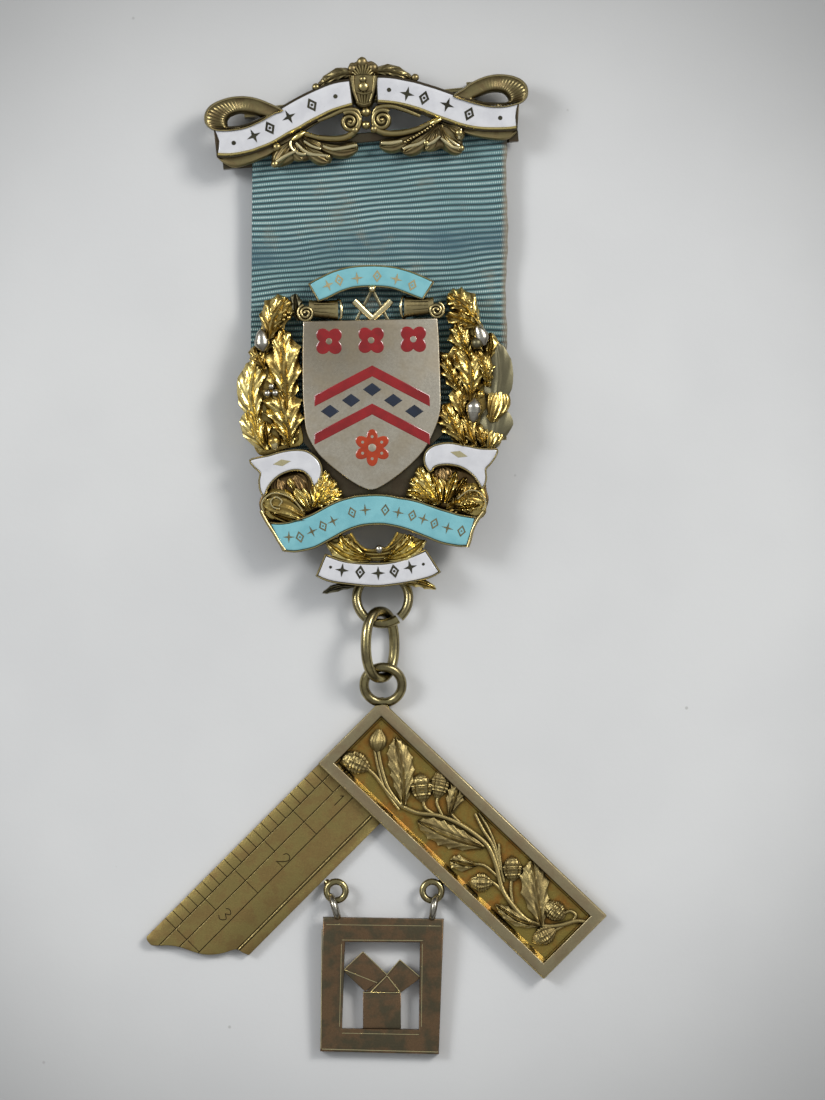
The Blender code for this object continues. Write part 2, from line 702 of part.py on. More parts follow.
MOTTO_TOP = [(272, 524), (290, 523.5), (312, 516), (335, 504), (355, 498), (377, 496.5),
             (400, 499), (430, 506.5), (455, 515), (475, 518.5)]
MOTTO_FOOT = [(467, 545), (450, 543.5), (430, 537), (405, 527), (380, 523), (362, 524),
              (340, 533), (318, 545.5), (300, 550), (286, 550)]
MOTTO_RIM = 3.5
CRESCENT = [(324, 542), (335, 554), (355, 561), (380, 562), (402, 558), (418, 550), (428, 540),
            (400, 530), (393, 541), (380, 547), (367, 547), (358, 541), (351, 530)]
LOWER_TOP = [(329, 557), (345, 562), (365, 564.5), (390, 563), (410, 558), (425, 552)]
LOWER_FOOT = [(438, 571), (415, 580), (390, 584.5), (365, 584.5), (340, 581), (320, 576)]
LOWER_RIM = 3
EMBLEM_LEAVES = [
    ([(300, 480), (285, 496), (268, 510)], 20),
    ([(305, 476), (298, 494), (296, 516)], 16),
    ([(310, 480), (325, 492), (342, 498)], 20),
    ([(448, 476), (462, 490), (478, 506)], 20),
    ([(442, 476), (448, 492), (452, 508)], 16),
    ([(438, 476), (424, 486), (408, 496)], 20),
    ([(358, 584), (338, 588), (322, 592)], 8),
    ([(404, 584), (422, 584), (438, 589)], 8),
]
STRIP_SQUARES = (247, 507, 432)


def rimmed(outline, rim):
    return shrunk(outline, -rim)


def make_emblem():
    """The wreath, the scroll cells and the foliage as one soldered solid, with its enamels."""
    unit = EMBLEM.square
    crest = EMBLEM_GROUND + EMBLEM_RELIEF
    edge = EMBLEM_GROUND + EMBLEM_RELIEF * 0.35
    sunk = METAL_BACK + EMBLEM_PLATE / 2
    number = smooth(EMBLEM.all(NUMBER_TOP)) + smooth(EMBLEM.all(NUMBER_FOOT))
    motto = smooth(EMBLEM.all(MOTTO_TOP)) + smooth(EMBLEM.all(MOTTO_FOOT))
    lower = smooth(EMBLEM.all(LOWER_TOP)) + smooth(EMBLEM.all(LOWER_FOOT))
    left_curl = smooth(EMBLEM.all(LEFT_CURL_WHITE), closed=True)
    right_curl = smooth(EMBLEM.all(RIGHT_CURL_WHITE), closed=True)
    lower_face = EMBLEM_FACE - 0.3
    pieces = [
        slab(EMBLEM.all(FIELD), METAL_BACK + 0.05, EMBLEM_GROUND - 0.1),
        slab(EMBLEM.all(LEFT_WREATH), METAL_BACK, EMBLEM_GROUND),
        slab(EMBLEM.all(RIGHT_WREATH), METAL_BACK, EMBLEM_GROUND),
        slab(rimmed(number, 3 * unit), METAL_BACK + 0.02, EMBLEM_FACE),
        slab(smooth(EMBLEM.all(LEFT_ROLL), closed=True), METAL_BACK + 0.03, EMBLEM_FACE + 0.2),
        slab(smooth(EMBLEM.all(RIGHT_ROLL), closed=True), METAL_BACK + 0.03, EMBLEM_FACE + 0.2),
        slab(EMBLEM.all(LEFT_FOOT), METAL_BACK + 0.06, EMBLEM_GROUND + 0.2),
        slab(EMBLEM.all(RIGHT_FOOT), METAL_BACK + 0.06, EMBLEM_GROUND + 0.2),
        slab(rimmed(left_curl, 2.5 * unit), METAL_BACK + 0.04, EMBLEM_FACE),
        slab(rimmed(right_curl, 2.5 * unit), METAL_BACK + 0.04, EMBLEM_FACE),
        slab(rimmed(motto, MOTTO_RIM * unit), METAL_BACK + 0.01, EMBLEM_FACE),
        slab(smooth(EMBLEM.all(CRESCENT), closed=True), METAL_BACK + 0.07, EMBLEM_FACE - 0.5),
        slab(rimmed(lower, LOWER_RIM * unit), METAL_BACK + 0.03, lower_face),
        ball((*EMBLEM.at(378, 546), EMBLEM_FACE - 0.3), 5 * unit),
        ball((*EMBLEM.at(373, 289), EMBLEM_FACE), 5 * unit),
    ]
    for x, y, size in SCROLL_ROLLS:
        disc = [turned(EMBLEM.at(x, y), 2 * pi * k / 10, size * unit, 0) for k in range(10)]
        pieces.append(slab(disc, METAL_BACK + 0.08, EMBLEM_FACE + 0.4))
    for route in COMPASS_LEGS + SMALL_SQUARE:
        line = [(*EMBLEM.at(x, y), SHIELD_BOTTOM) for x, y in route]
        pieces.append(wire(line, 2.4 * unit, sides=WIRE_SIDES_LOOP))
    for path, width, lobes in WREATH_LEAVES:
        pieces.append(leaf(EMBLEM.all(path), width * unit, sunk, edge, crest, lobes))
    for path, width in EMBLEM_LEAVES:
        pieces.append(leaf(EMBLEM.all(path), width * unit, sunk + 0.1, edge, crest - 0.2))
    for x, y in BERRIES:
        pieces.append(ball((*EMBLEM.at(x, y), edge), 4.5 * unit, segments=6, rings=4))
    for base, tip, width in WREATH_ACORNS:
        height = EMBLEM_GROUND + width * unit * 0.35
        pieces.append(acorn(EMBLEM.at(*base), EMBLEM.at(*tip), width * unit, height))
    left, right, level = STRIP_SQUARES
    x_left, y_strip = EMBLEM.at(left, level)
    x_right = EMBLEM.at(right, level)[0]
    low = y_strip - STRIP_WIDTH / 2
    high = y_strip + STRIP_WIDTH / 2
    for start in (x_left, x_right - EMBLEM_LUG_WIDTH):
        lug = [(start, low), (start + EMBLEM_LUG_WIDTH, low), (start + EMBLEM_LUG_WIDTH, high),
               (start, high)]
        pieces.append(slab(lug, STRIP_BOTTOM, sunk + 0.03))
    strip = [(x_left + 0.1, low + 0.02), (x_right - 0.1, low + 0.02),
             (x_right - 0.1, high - 0.02), (x_left + 0.1, high - 0.02)]
    pieces.append(slab(strip, STRIP_BOTTOM + 0.02, STRIP_TOP))
    pieces.append(staple())
    emblem = united("emblem", pieces)
    seat = rimmed(EMBLEM.all(SHIELD), CLEARANCE)
    emblem = cut(emblem, slab(seat, SHIELD_BOTTOM - CLEARANCE, crest + CLEARANCE))
    for name, outline, face, kind in (
        ("number_scroll", number, EMBLEM_FACE, "blue_enamel"),
        ("motto_scroll", motto, EMBLEM_FACE, "blue_enamel"),
        ("curl_enamel_left", left_curl, EMBLEM_FACE, "white_enamel"),
        ("curl_enamel_right", right_curl, EMBLEM_FACE, "white_enamel"),
        ("lower_scroll", lower, lower_face, "white_enamel"),
    ):
        emblem, fill = enamelled(emblem, outline, face, EMBLEM_CELL_DEPTH)
        finish(fill, name, kind)
    finish(emblem, "emblem", "gilt")


def staple():
    """The half loop of wire behind the lower scroll that carries the emblem's ring."""
    x = EMBLEM_RING_CENTRE[0]
    y = EMBLEM_RING_CENTRE[1] + RING_DROP * cos(EMBLEM_RING_LEAN)
    height = EMBLEM_RING_CENTRE[2] + RING_DROP * sin(EMBLEM_RING_LEAN)
    rise = RING_WIRE / 2 + WIRE_GAP + STAPLE_WIRE / 2
    reach = rise + WIRE_GAP
    root = METAL_BACK + STAPLE_WIRE / 2
    arc = [pi * k / 6 for k in range(7)]
    bend = [(x, y + reach * cos(turn), height - rise * sin(turn)) for turn in arc]
    return wire([(x, y + reach, root), *bend, (x, y - reach, root)], STAPLE_WIRE / 2)


# Shield

QUATREFOILS = [(330, 342), (372, 341), (414, 340)]
QUATREFOIL_SIZE = 16
CHEVRON_LEVELS = {"chevron_upper": 366, "chevron_lower": 404}
CHEVRON_HALF = 58
CHEVRON_DROP = 30
CHEVRON_DEPTH = 11
CHAIN_LEVEL = (sum(CHEVRON_LEVELS.values()) + CHEVRON_DEPTH) / 2
CHAIN_COUNT = 5
CHAIN_PITCH = 21
CHAIN_HALF = 7
CHAIN_NECK = 2.6
SHIELD_MIDDLE = 373
ROSETTE = (373, 448)
ROSETTE_SIZE = 19


def petals(centre, size, count, steps=4):
    """A flower outline with round petals."""
    outline = []
    for k in range(count * steps):
        turn = 2 * pi * k / (count * steps)
        reach = size * (0.62 + 0.38 * abs(sin(count * turn / 2)))
        outline.append(turned(centre, turn, reach, 0))
    return outline


def chevron(level):
    middle = SHIELD_MIDDLE
    return EMBLEM.all([
        (middle - CHEVRON_HALF, level + CHEVRON_DROP),
        (middle, level),
        (middle + CHEVRON_HALF, level + CHEVRON_DROP),
        (middle + CHEVRON_HALF, level + CHEVRON_DROP + CHEVRON_DEPTH),
        (middle, level + CHEVRON_DEPTH),
        (middle - CHEVRON_HALF, level + CHEVRON_DROP + CHEVRON_DEPTH),
    ])


def lozenge_chain():
    """Five lozenges that touch at a narrow neck, following the chevrons."""
    top = []
    foot = []
    slope = CHEVRON_DROP / CHEVRON_HALF
    for step in range(2 * CHAIN_COUNT + 1):
        run = (step - CHAIN_COUNT) * CHAIN_PITCH / 2
        half = CHAIN_HALF if step % 2 else CHAIN_NECK
        x = SHIELD_MIDDLE + run
        y = CHAIN_LEVEL + abs(run) * slope
        top.append((x, y - half))
        foot.append((x, y + half))
    return EMBLEM.all(top + foot[::-1])


def make_shield():
    """The silver shield above the wreath, with its enamelled charges in cells."""
    unit = EMBLEM.square
    face = SHIELD_BOTTOM + SHIELD_THICKNESS
    shield = slab(EMBLEM.all(SHIELD), SHIELD_BOTTOM, face)
    charges = [
        (f"quatrefoil_{side}", petals(EMBLEM.at(*place), QUATREFOIL_SIZE * unit, 4), "red_enamel")
        for side, place in zip(("left", "middle", "right"), QUATREFOILS)
    ]
    charges += [(name, chevron(level), "red_enamel") for name, level in CHEVRON_LEVELS.items()]
    charges.append(("lozenge_chain", lozenge_chain(), "dark_enamel"))
    charges.append(("rosette", petals(EMBLEM.at(*ROSETTE), ROSETTE_SIZE * unit, 6), "red_enamel"))
    for name, outline, kind in charges:
        shield, fill = enamelled(shield, outline, face, SHIELD_CELL_DEPTH)
        finish(fill, name, kind)
    finish(shield, "shield", "silver")


# Rings


def make_rings():
    """The emblem's ring and the oval link that leans between the two rings."""
    emblem_ring = ring(EMBLEM_RING_CENTRE, EMBLEM_RING_DIAMETER, RING_WIRE, EMBLEM_RING_LEAN)
    finish(emblem_ring, "emblem_ring", "gilt_dark")
    straight = LINK_HALF - LINK_ROUND
    points = []
    for k in range(RING_STEPS + 4):
        turn = 2 * pi * (k + 0.5) / (RING_STEPS + 4)
        side = LINK_ROUND * cos(turn)
        run = LINK_ROUND * sin(turn) + (straight if turn < pi else -straight)
        points.append((
            LINK_CENTRE[0] - side * cos(LINK_LEAN),
            LINK_CENTRE[1] + run,
            LINK_CENTRE[2] + side * sin(LINK_LEAN),
        ))
    finish(wire(points, LINK_WIRE / 2, closed=True), "oval_link", "gilt_dark")


# Square

ARM = Grid((382, 703), APEX, ARM_LENGTH, 312)
# The blade's end, as shares of the arm's width across and of the blade's length along
BLADE_END = [(0.0, 1.0), (0.03, 1.015), (0.12, 1.016), (0.23, 0.977), (0.41, 0.928),
             (0.62, 0.887), (0.74, 0.852), (0.84, 0.786), (0.88, 0.776), (0.98, 0.763)]
STEMS = [
    [(380, 748), (384, 775), (400, 808), (440, 819), (478, 838), (495, 858), (505, 892),
     (525, 920), (558, 927), (585, 925)],
    [(366, 768), (385, 792), (402, 810)],
    [(476, 815), (486, 838), (500, 868)],
    [(514, 872), (518, 890), (516, 908)],
    [(452, 798), (448, 810), (440, 820)],
]
ARM_LEAVES = [
    ([(403, 808), (402, 775), (396, 743)], 20, 3),
    ([(482, 846), (452, 838), (421, 823)], 18, 4),
    ([(541, 926), (536, 895), (534, 866)], 20, 3),
    ([(540, 926), (518, 920), (498, 906)], 14, 2),
]
ARM_BUDS = [([(380, 748), (380, 734), (381, 720)], 17), ([(477, 832), (477, 820), (475, 808)], 10)]
ARM_ACORNS = [
    ((367, 769), (345, 762), 15),
    ((419, 806), (421, 780), 14),
    ((438, 805), (440, 780), 14),
    ((450, 804), (462, 789), 14),
    ((472, 855), (458, 873), 14),
    ((486, 868), (474, 888), 14),
    ((514, 880), (514, 860), 15),
    ((556, 922), (554, 900), 15),
    ((548, 934), (541, 950), 14),
]
LEFT_LOOP = (337, 893)
RIGHT_LOOP = (433, 893)


def arm_point(along, across):
    return turned(APEX, ARM_ANGLE, along, -across)


def blade_point(along, across):
    return turned(arm_point(0, ARM_WIDTH), BLADE_ANGLE, along, across)


def make_square():
    """The framed arm with its relief, the plain blade, the apex ring and two loops, soldered."""
    unit = ARM.square
    rim = ARM_RIM
    frame = [arm_point(0.6, 0), arm_point(ARM_LENGTH, 0), arm_point(ARM_LENGTH, ARM_WIDTH),
             arm_point(0, ARM_WIDTH), arm_point(0, 0.9)]
    window = [arm_point(rim, rim), arm_point(ARM_LENGTH - rim, rim),
              arm_point(ARM_LENGTH - rim, ARM_WIDTH - rim), arm_point(rim, ARM_WIDTH - rim)]
    body = cut(slab(frame, 0, ARM_THICKNESS), slab(window, ARM_FLOOR, ARM_THICKNESS + CLEARANCE))
    blade = [blade_point(-1, 0.15), *(blade_point(along * BLADE_LENGTH, across * ARM_WIDTH)
                                      for across, along in BLADE_END),
             blade_point(-1, 0.98 * ARM_WIDTH)]
    pieces = [body, slab(blade, 0, BLADE_THICKNESS)]
    pieces.append(ring(APEX_RING_CENTRE, APEX_RING_DIAMETER, RING_WIRE, APEX_RING_LEAN))
    sunk = ARM_FLOOR - 0.3
    crest = ARM_FLOOR + ARM_RELIEF
    for route in STEMS:
        line = [(*ARM.at(x, y), ARM_FLOOR + 0.1) for x, y in smooth(route)]
        pieces.append(wire(line, 2.6 * unit, sides=WIRE_SIDES_LOOP))
    for path, width, lobes in ARM_LEAVES:
        pieces.append(leaf(ARM.all(path), width * unit, sunk, ARM_FLOOR + 0.3, crest, lobes))
    for path, width in ARM_BUDS:
        pieces.append(leaf(ARM.all(path), width * unit, sunk + 0.1, ARM_FLOOR + 0.3, crest))
    for base, tip, width in ARM_ACORNS:
        pieces.append(acorn(ARM.at(*base), ARM.at(*tip), width * unit, ARM_FLOOR + 0.1))
    for place, edge_place in loop_places():
        pieces.append(ring((*place, SQUARE_LOOP_HEIGHT), SQUARE_LOOP_DIAMETER, SQUARE_LOOP_WIRE,
                           steps=18))
        heading = atan2(edge_place[1] - place[1], edge_place[0] - place[0])
        reach = (SQUARE_LOOP_DIAMETER - SQUARE_LOOP_WIRE) / 2
        start = turned(place, heading, reach, 0)
        end = turned(edge_place, heading, 0.5, 0)
        pieces.append(wire([(*start, SQUARE_LOOP_HEIGHT), (*end, BLADE_THICKNESS / 2)],
                           SQUARE_LOOP_WIRE * 0.55))
    finish(united("square", pieces), "square", "gilt_dark")


def loop_places():
    """Each small loop's centre, and the nearest point of the edge that carries it."""
    left = ARM.at(*LEFT_LOOP)
    right = ARM.at(*RIGHT_LOOP)
    foot = blade_point(0, 0.98 * ARM_WIDTH)
    run = (left[0] - foot[0]) * cos(BLADE_ANGLE) + (left[1] - foot[1]) * sin(BLADE_ANGLE)
    on_blade = blade_point(run, 0.98 * ARM_WIDTH)
    run = (right[0] - APEX[0]) * cos(ARM_ANGLE) + (right[1] - APEX[1]) * sin(ARM_ANGLE)
    return ((left, on_blade), (right, arm_point(run, ARM_WIDTH)))


# Plaque

PLAQUE_FRAME = [(324, 918), (445, 920), (440, 1056), (321, 1053)]
PLAQUE_WINDOW = [(347, 940), (421, 941), (419, 1031), (343, 1030)]
FIGURE = [
    [(364, 953), (344, 973), (366, 994), (389, 976)],
    [(401, 960), (424, 978), (404, 995), (386, 977)],
    [(388, 974), (369, 998), (399, 998)],
    [(364, 992), (402, 992), (402, 1033), (364, 1033)],
]
PLAQUE_LOOPS = [((335.5, 899), (339.5, 918)), ((436, 899), (433.5, 919))]


def make_plaque():
    """The pierced plaque with the three squares of its figure, hung on two upright loops."""
    grid = Grid(LEFT_LOOP, loop_places()[0][0], PLAQUE_WIDTH, 121)
    unit = grid.square
    rise = (PLAQUE_LOOP_DIAMETER - PLAQUE_THICKNESS) / 2
    top = grid.at(*PLAQUE_FRAME[0])
    low = grid.at(*PLAQUE_FRAME[2])
    length = top[1] - low[1]
    body = slab(grid.all(PLAQUE_FRAME), 0, PLAQUE_THICKNESS, holes=[grid.all(PLAQUE_WINDOW)])
    pieces = [body]
    for k, corners in enumerate(FIGURE):
        step = 0.1 + 0.04 * k
        pieces.append(slab(grid.all(corners), step, PLAQUE_THICKNESS - step))
    plaque = united("plaque", pieces)
    tilt = atan2(rise, length)
    about = Vector((0, low[1], 0))
    plaque.data.transform(
        Matrix.Translation(about) @ Matrix.Rotation(tilt, 4, "X") @ Matrix.Translation(-about)
    )
    loops = [plaque]
    for start, end in PLAQUE_LOOPS:
        near = grid.at(*start)
        far = grid.at(*end)
        heading = atan2(far[1] - near[1], far[0] - near[0])
        radius = (PLAQUE_LOOP_DIAMETER - PLAQUE_LOOP_WIRE) / 2
        centre = turned(far, heading, -radius - 0.05, 0)
        loops.append(ring((*centre, PLAQUE_LOOP_DIAMETER / 2), PLAQUE_LOOP_DIAMETER,
                          PLAQUE_LOOP_WIRE, heading=heading, upright=True, steps=20))
    finish(united("plaque", loops), "plaque", "gilt_dark")


def main():
    clear_scene()
    group = bpy.data.collections.new(COLLECTION)
    bpy.context.scene.collection.children.link(group)
    make_bar()
    make_pin()
    make_ribbon()
    make_emblem()
    make_shield()
    make_rings()
    make_square()
    make_plaque()


main()
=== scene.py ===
"""The looks of the masonic breast jewel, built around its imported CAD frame.

Shapes are made in millimetres and become metres when a piece is finished. Places are drawn on
squared paper, x to the right and y down, one grid for each assembly, tied to its CAD node's box.
"""

import json
from math import atan2, cos, hypot, pi, radians, sin

import bmesh
import bpy
import numpy as np
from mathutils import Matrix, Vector
from mathutils.geometry import tessellate_polygon

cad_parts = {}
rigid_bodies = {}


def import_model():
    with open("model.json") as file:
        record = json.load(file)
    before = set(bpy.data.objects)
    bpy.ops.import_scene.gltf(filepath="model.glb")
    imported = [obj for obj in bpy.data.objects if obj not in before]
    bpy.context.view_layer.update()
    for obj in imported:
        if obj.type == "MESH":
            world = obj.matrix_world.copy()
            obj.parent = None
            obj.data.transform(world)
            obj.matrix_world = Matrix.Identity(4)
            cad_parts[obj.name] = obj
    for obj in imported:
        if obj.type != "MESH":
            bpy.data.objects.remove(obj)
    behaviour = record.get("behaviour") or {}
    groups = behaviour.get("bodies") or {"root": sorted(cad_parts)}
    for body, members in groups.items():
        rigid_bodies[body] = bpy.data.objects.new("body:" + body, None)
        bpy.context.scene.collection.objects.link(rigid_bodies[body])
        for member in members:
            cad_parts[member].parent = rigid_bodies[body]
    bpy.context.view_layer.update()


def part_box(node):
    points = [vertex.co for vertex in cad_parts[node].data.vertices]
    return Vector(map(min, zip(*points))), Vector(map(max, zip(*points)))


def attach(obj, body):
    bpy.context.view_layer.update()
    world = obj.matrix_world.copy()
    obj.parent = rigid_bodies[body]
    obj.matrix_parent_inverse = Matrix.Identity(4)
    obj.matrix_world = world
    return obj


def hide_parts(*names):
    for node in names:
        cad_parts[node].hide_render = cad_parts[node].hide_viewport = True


MM = 0.001
# The photograph's size, its scale and the frame's origin in it
PHOTO_PIXELS = (825, 1100)
PIXELS_PER_MM = 8
ORIGIN_PIXEL = (377, 556.5)

for thing in list(bpy.data.objects):
    bpy.data.objects.remove(thing)
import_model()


def top_of(node):
    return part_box(node)[1].z / MM


def size_of(node):
    """The size and the middle of a CAD node's box, in millimetres."""
    low, high = (np.array(corner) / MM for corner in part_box(node))
    return high - low, (low + high) / 2


class Grid:
    """Turns squares of the drawing into millimetres, from a CAD node's box and its squares."""

    def __init__(self, node, left, top, right, bottom):
        low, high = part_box(node)
        self.square = (high.x - low.x) / MM / (right - left)
        self.rise = (high.y - low.y) / MM / (bottom - top)
        self.left = low.x / MM - left * self.square
        self.top = high.y / MM + top * self.rise

    def at(self, x, y):
        return (self.left + x * self.square, self.top - y * self.rise)

    def all(self, points):
        return [self.at(x, y) for x, y in points]

    def line(self, points, steps, closed=False):
        """A round curve through places of the drawing."""
        return curve(self.all(points), steps, closed)


BAR = Grid("top_bar", 204.2, 57.0, 528.0, 170.0)
EMBLEM = Grid("emblem", 243.0, 264.2, 510.0, 593.2)
ARM = Grid("square", 148.1, 664.7, 607.9, 982.5)
PLAQUE = Grid("plaque", 321.0, 891.8, 445.0, 1056.2)

# Heights in millimetres, from the CAD nodes
ENAMEL_RISE = 0.05
BAR_FACE = top_of("bar_enamel_left") - ENAMEL_RISE
METAL_BACK = BAR_FACE - 1.6
EMBLEM_FACE = top_of("motto_scroll") - ENAMEL_RISE
EMBLEM_GROUND = METAL_BACK + 0.8
LOWER_FACE = top_of("lower_scroll") - ENAMEL_RISE
SHIELD_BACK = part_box("shield")[0].z / MM
SHIELD_FACE = top_of("shield")

rng = np.random.default_rng(7)


# Outlines


def curve(points, steps=6, closed=False):
    """A round curve through the points (Catmull-Rom), with a few steps from each to the next."""
    points = np.array(points, float)
    count = len(points)
    result = []
    for i in range(count if closed else count - 1):
        if closed:
            near = points[[(i + k) % count for k in (-1, 0, 1, 2)]]
        else:
            near = points[[min(max(i + k, 0), count - 1) for k in (-1, 0, 1, 2)]]
        for step in range(steps):
            t = step / steps
            weights = np.array((
                -t + 2 * t**2 - t**3,
                2 - 5 * t**2 + 3 * t**3,
                t + 4 * t**2 - 3 * t**3,
                -(t**2) + t**3,
            )) / 2
            result.append(weights @ near)
    if not closed:
        result.append(points[-1])
    return np.array(result)


def spaced(points, count, closed=False):
    """The line through the points as evenly spaced points."""
    points = np.array(points, float)
    if closed:
        points = np.vstack((points, points[:1]))
    run = np.concatenate(([0], np.cumsum(np.linalg.norm(np.diff(points, axis=0), axis=1))))
    places = np.linspace(0, run[-1], count, endpoint=not closed)
    return np.stack([np.interp(places, run, points[:, k]) for k in range(points.shape[1])], 1)


def inset(outline, gap):
    """A closed outline moved inwards by a gap, or outwards by a negative one."""
    outline = np.array(outline, float)
    before = outline - np.roll(outline, 1, 0)
    after = np.roll(outline, -1, 0) - outline
    before /= np.maximum(np.linalg.norm(before, axis=1, keepdims=True), 1e-9)
    after /= np.maximum(np.linalg.norm(after, axis=1, keepdims=True), 1e-9)
    x, y = outline[:, 0], outline[:, 1]
    turn = 1 if (x * np.roll(y, -1) - np.roll(x, -1) * y).sum() > 0 else -1
    both = before + after
    inward = np.stack((-both[:, 1], both[:, 0]), 1)
    inward /= np.maximum(np.linalg.norm(inward, axis=1, keepdims=True), 1e-9)
    across = np.abs(inward[:, 0] * -before[:, 1] + inward[:, 1] * before[:, 0])
    return outline + inward * gap * turn / np.maximum(across, 0.5)[:, None]


def lift(points, height):
    points = np.array(points, float)
    return np.column_stack((points[:, :2], np.broadcast_to(height, len(points))))


def rectangle(left, right, low, high):
    return [(left, low), (right, low), (right, high), (left, high)]


def disc(centre, radius, count=24):
    turn = np.arange(count) * 2 * pi / count
    return np.stack((centre[0] + radius * np.cos(turn), centre[1] + radius * np.sin(turn)), 1)


def spiral(centre, start, stop, big, small, count):
    """Points of a spiral from one angle to another, with the radius going from big to small."""
    turn = np.linspace(start, stop, count)
    radius = np.linspace(big, small, count)
    return np.stack((centre[0] + radius * np.cos(turn), centre[1] + radius * np.sin(turn)), 1)


# Shapes, each as points and faces


def grid_faces(count, across, around=False, along=False):
    faces = []
    for i in range(count if along else count - 1):
        near = i * across
        far = (i + 1) % count * across
        for k in range(across if around else across - 1):
            step = (k + 1) % across
            faces.append((near + k, near + step, far + step, far + k))
    return faces


def skin(rows, around=True, along=False, caps=True):
    """A surface over rows of points, by default a tube with closed ends."""
    rows = np.array(rows, float)
    count, across = rows.shape[:2]
    faces = grid_faces(count, across, around, along)
    if caps and not along:
        faces.append(tuple(range(across)))
        faces.append(tuple((count - 1) * across + k for k in reversed(range(across))))
    return rows.reshape(-1, 3), faces


def plate(outline, bottom, top, bevel=0.0, holes=(), steps=3, foot=0.0):
    """A flat piece with an outline and holes, its upper edges rounded and its lower ones cut."""
    profile = [(foot, bottom)]
    if foot:
        profile.append((0.0, bottom + foot))
    if bevel:
        for k in range(steps + 1):
            turn = pi / 2 * k / steps
            profile.append((bevel * (1 - cos(turn)), top - bevel * (1 - sin(turn))))
    else:
        profile.append((0.0, top))
    points = []
    faces = []
    low_loops = []
    high_loops = []
    for number, loop in enumerate((outline, *holes)):
        side = 1 if number == 0 else -1
        rings = [lift(inset(loop, side * gap), z) for gap, z in profile]
        start = sum(len(p) for p in points)
        count = len(rings[0])
        shape, shape_faces = skin(rings, caps=False)
        points.append(shape)
        faces += [tuple(start + i for i in face) for face in shape_faces]
        low_loops.append((start, rings[0]))
        high_loops.append((start + (len(rings) - 1) * count, rings[-1]))
    for loops in (low_loops, high_loops):
        order = [start + i for start, ring in loops for i in range(len(ring))]
        triangles = tessellate_polygon([[Vector(p) for p in ring] for _, ring in loops])
        faces += [tuple(order[i] for i in triangle) for triangle in triangles]
    return np.vstack(points), faces


def pillow(outline, bottom, edge, top, reach, steps=5):
    """A plate whose upper face is domed: it rises from the edge over a reach."""
    rings = [lift(outline, bottom)]
    for k in range(steps + 1):
        share = k / steps
        height = edge + (top - edge) * sin(pi / 2 * share)
        rings.append(lift(inset(outline, reach * share), height))
    points, faces = skin(rings, caps=False)
    count = len(outline)
    for start, ring in ((0, rings[0]), ((len(rings) - 1) * count, rings[-1])):
        triangles = tessellate_polygon([[Vector(p) for p in ring]])
        faces += [tuple(start + i for i in triangle) for triangle in triangles]
    return points, faces


def tube(points, radius, sides=10, closed=False, normal=(0, 0, 1), flat=1.0):
    """A round wire along points. flat squeezes it along the normal."""
    points = np.array(points, float)
    radius = np.broadcast_to(radius, len(points))
    if closed:
        ahead = np.roll(points, -1, 0) - np.roll(points, 1, 0)
    else:
        ahead = np.gradient(points, axis=0)
    ahead /= np.linalg.norm(ahead, axis=1, keepdims=True)
    side = np.cross(ahead, np.array(normal, float))
    side /= np.maximum(np.linalg.norm(side, axis=1, keepdims=True), 1e-9)
    up = np.cross(side, ahead) * flat
    turn = (np.arange(sides) + 0.5) * 2 * pi / sides
    rows = (points[:, None] + radius[:, None, None] * (
        side[:, None] * np.cos(turn)[:, None] + up[:, None] * np.sin(turn)[:, None]))
    return skin(rows, along=closed)


def ring(centre, diameter, wire, lean=0.0, heading=None, steps=72, sides=16):
    """A round ring. It lies flat and leans about X, or stands upright along a heading."""
    radius = (diameter - wire) / 2
    turn = np.arange(steps) * 2 * pi / steps
    if heading is None:
        across = (1, 0, 0)
        up = (0, cos(lean), sin(lean))
    else:
        across = (cos(heading), sin(heading), 0)
        up = (0, 0, 1)
    points = (np.array(centre) + radius * np.outer(np.cos(turn), across)
              + radius * np.outer(np.sin(turn), up))
    return tube(points, wire / 2, sides, closed=True, normal=np.cross(across, up))


def ball(centre, radius, tall=1.0, sides=16, rows=10):
    turn = np.arange(sides) * 2 * pi / sides
    lat = np.linspace(-pi / 2 + 0.12, pi / 2 - 0.12, rows)
    points = np.stack((
        centre[0] + radius * np.outer(np.cos(lat), np.cos(turn)),
        centre[1] + radius * np.outer(np.cos(lat), np.sin(turn)),
        centre[2] + radius * tall * np.outer(np.sin(lat), np.ones(sides)),
    ), 2)
    return skin(points)


def turned(base, tip, profile, sides=20, flat=1.0, knurl=0.0, knurls=10):
    """A turned shape that lies along base to tip: profile holds shares of the length and radii.
    knurl cuts a net of small bosses into it."""
    base = np.array(base, float)
    tip = np.array(tip, float)
    length = np.linalg.norm(tip - base)
    ahead = (tip - base) / length
    side = np.cross(ahead, (0, 0, 1))
    side /= np.linalg.norm(side)
    up = np.cross(side, ahead) * flat
    turn = np.arange(sides) * 2 * pi / sides
    rows = []
    for share, radius in profile:
        twist = share * 30
        net = 1 + knurl * np.cos(knurls * turn + twist) * np.cos(knurls * turn - twist)
        wide = np.broadcast_to(radius * net, sides)
        rows.append(base + ahead * length * share
                    + wide[:, None] * (np.outer(np.cos(turn), side) + np.outer(np.sin(turn), up)))
    return skin(rows)


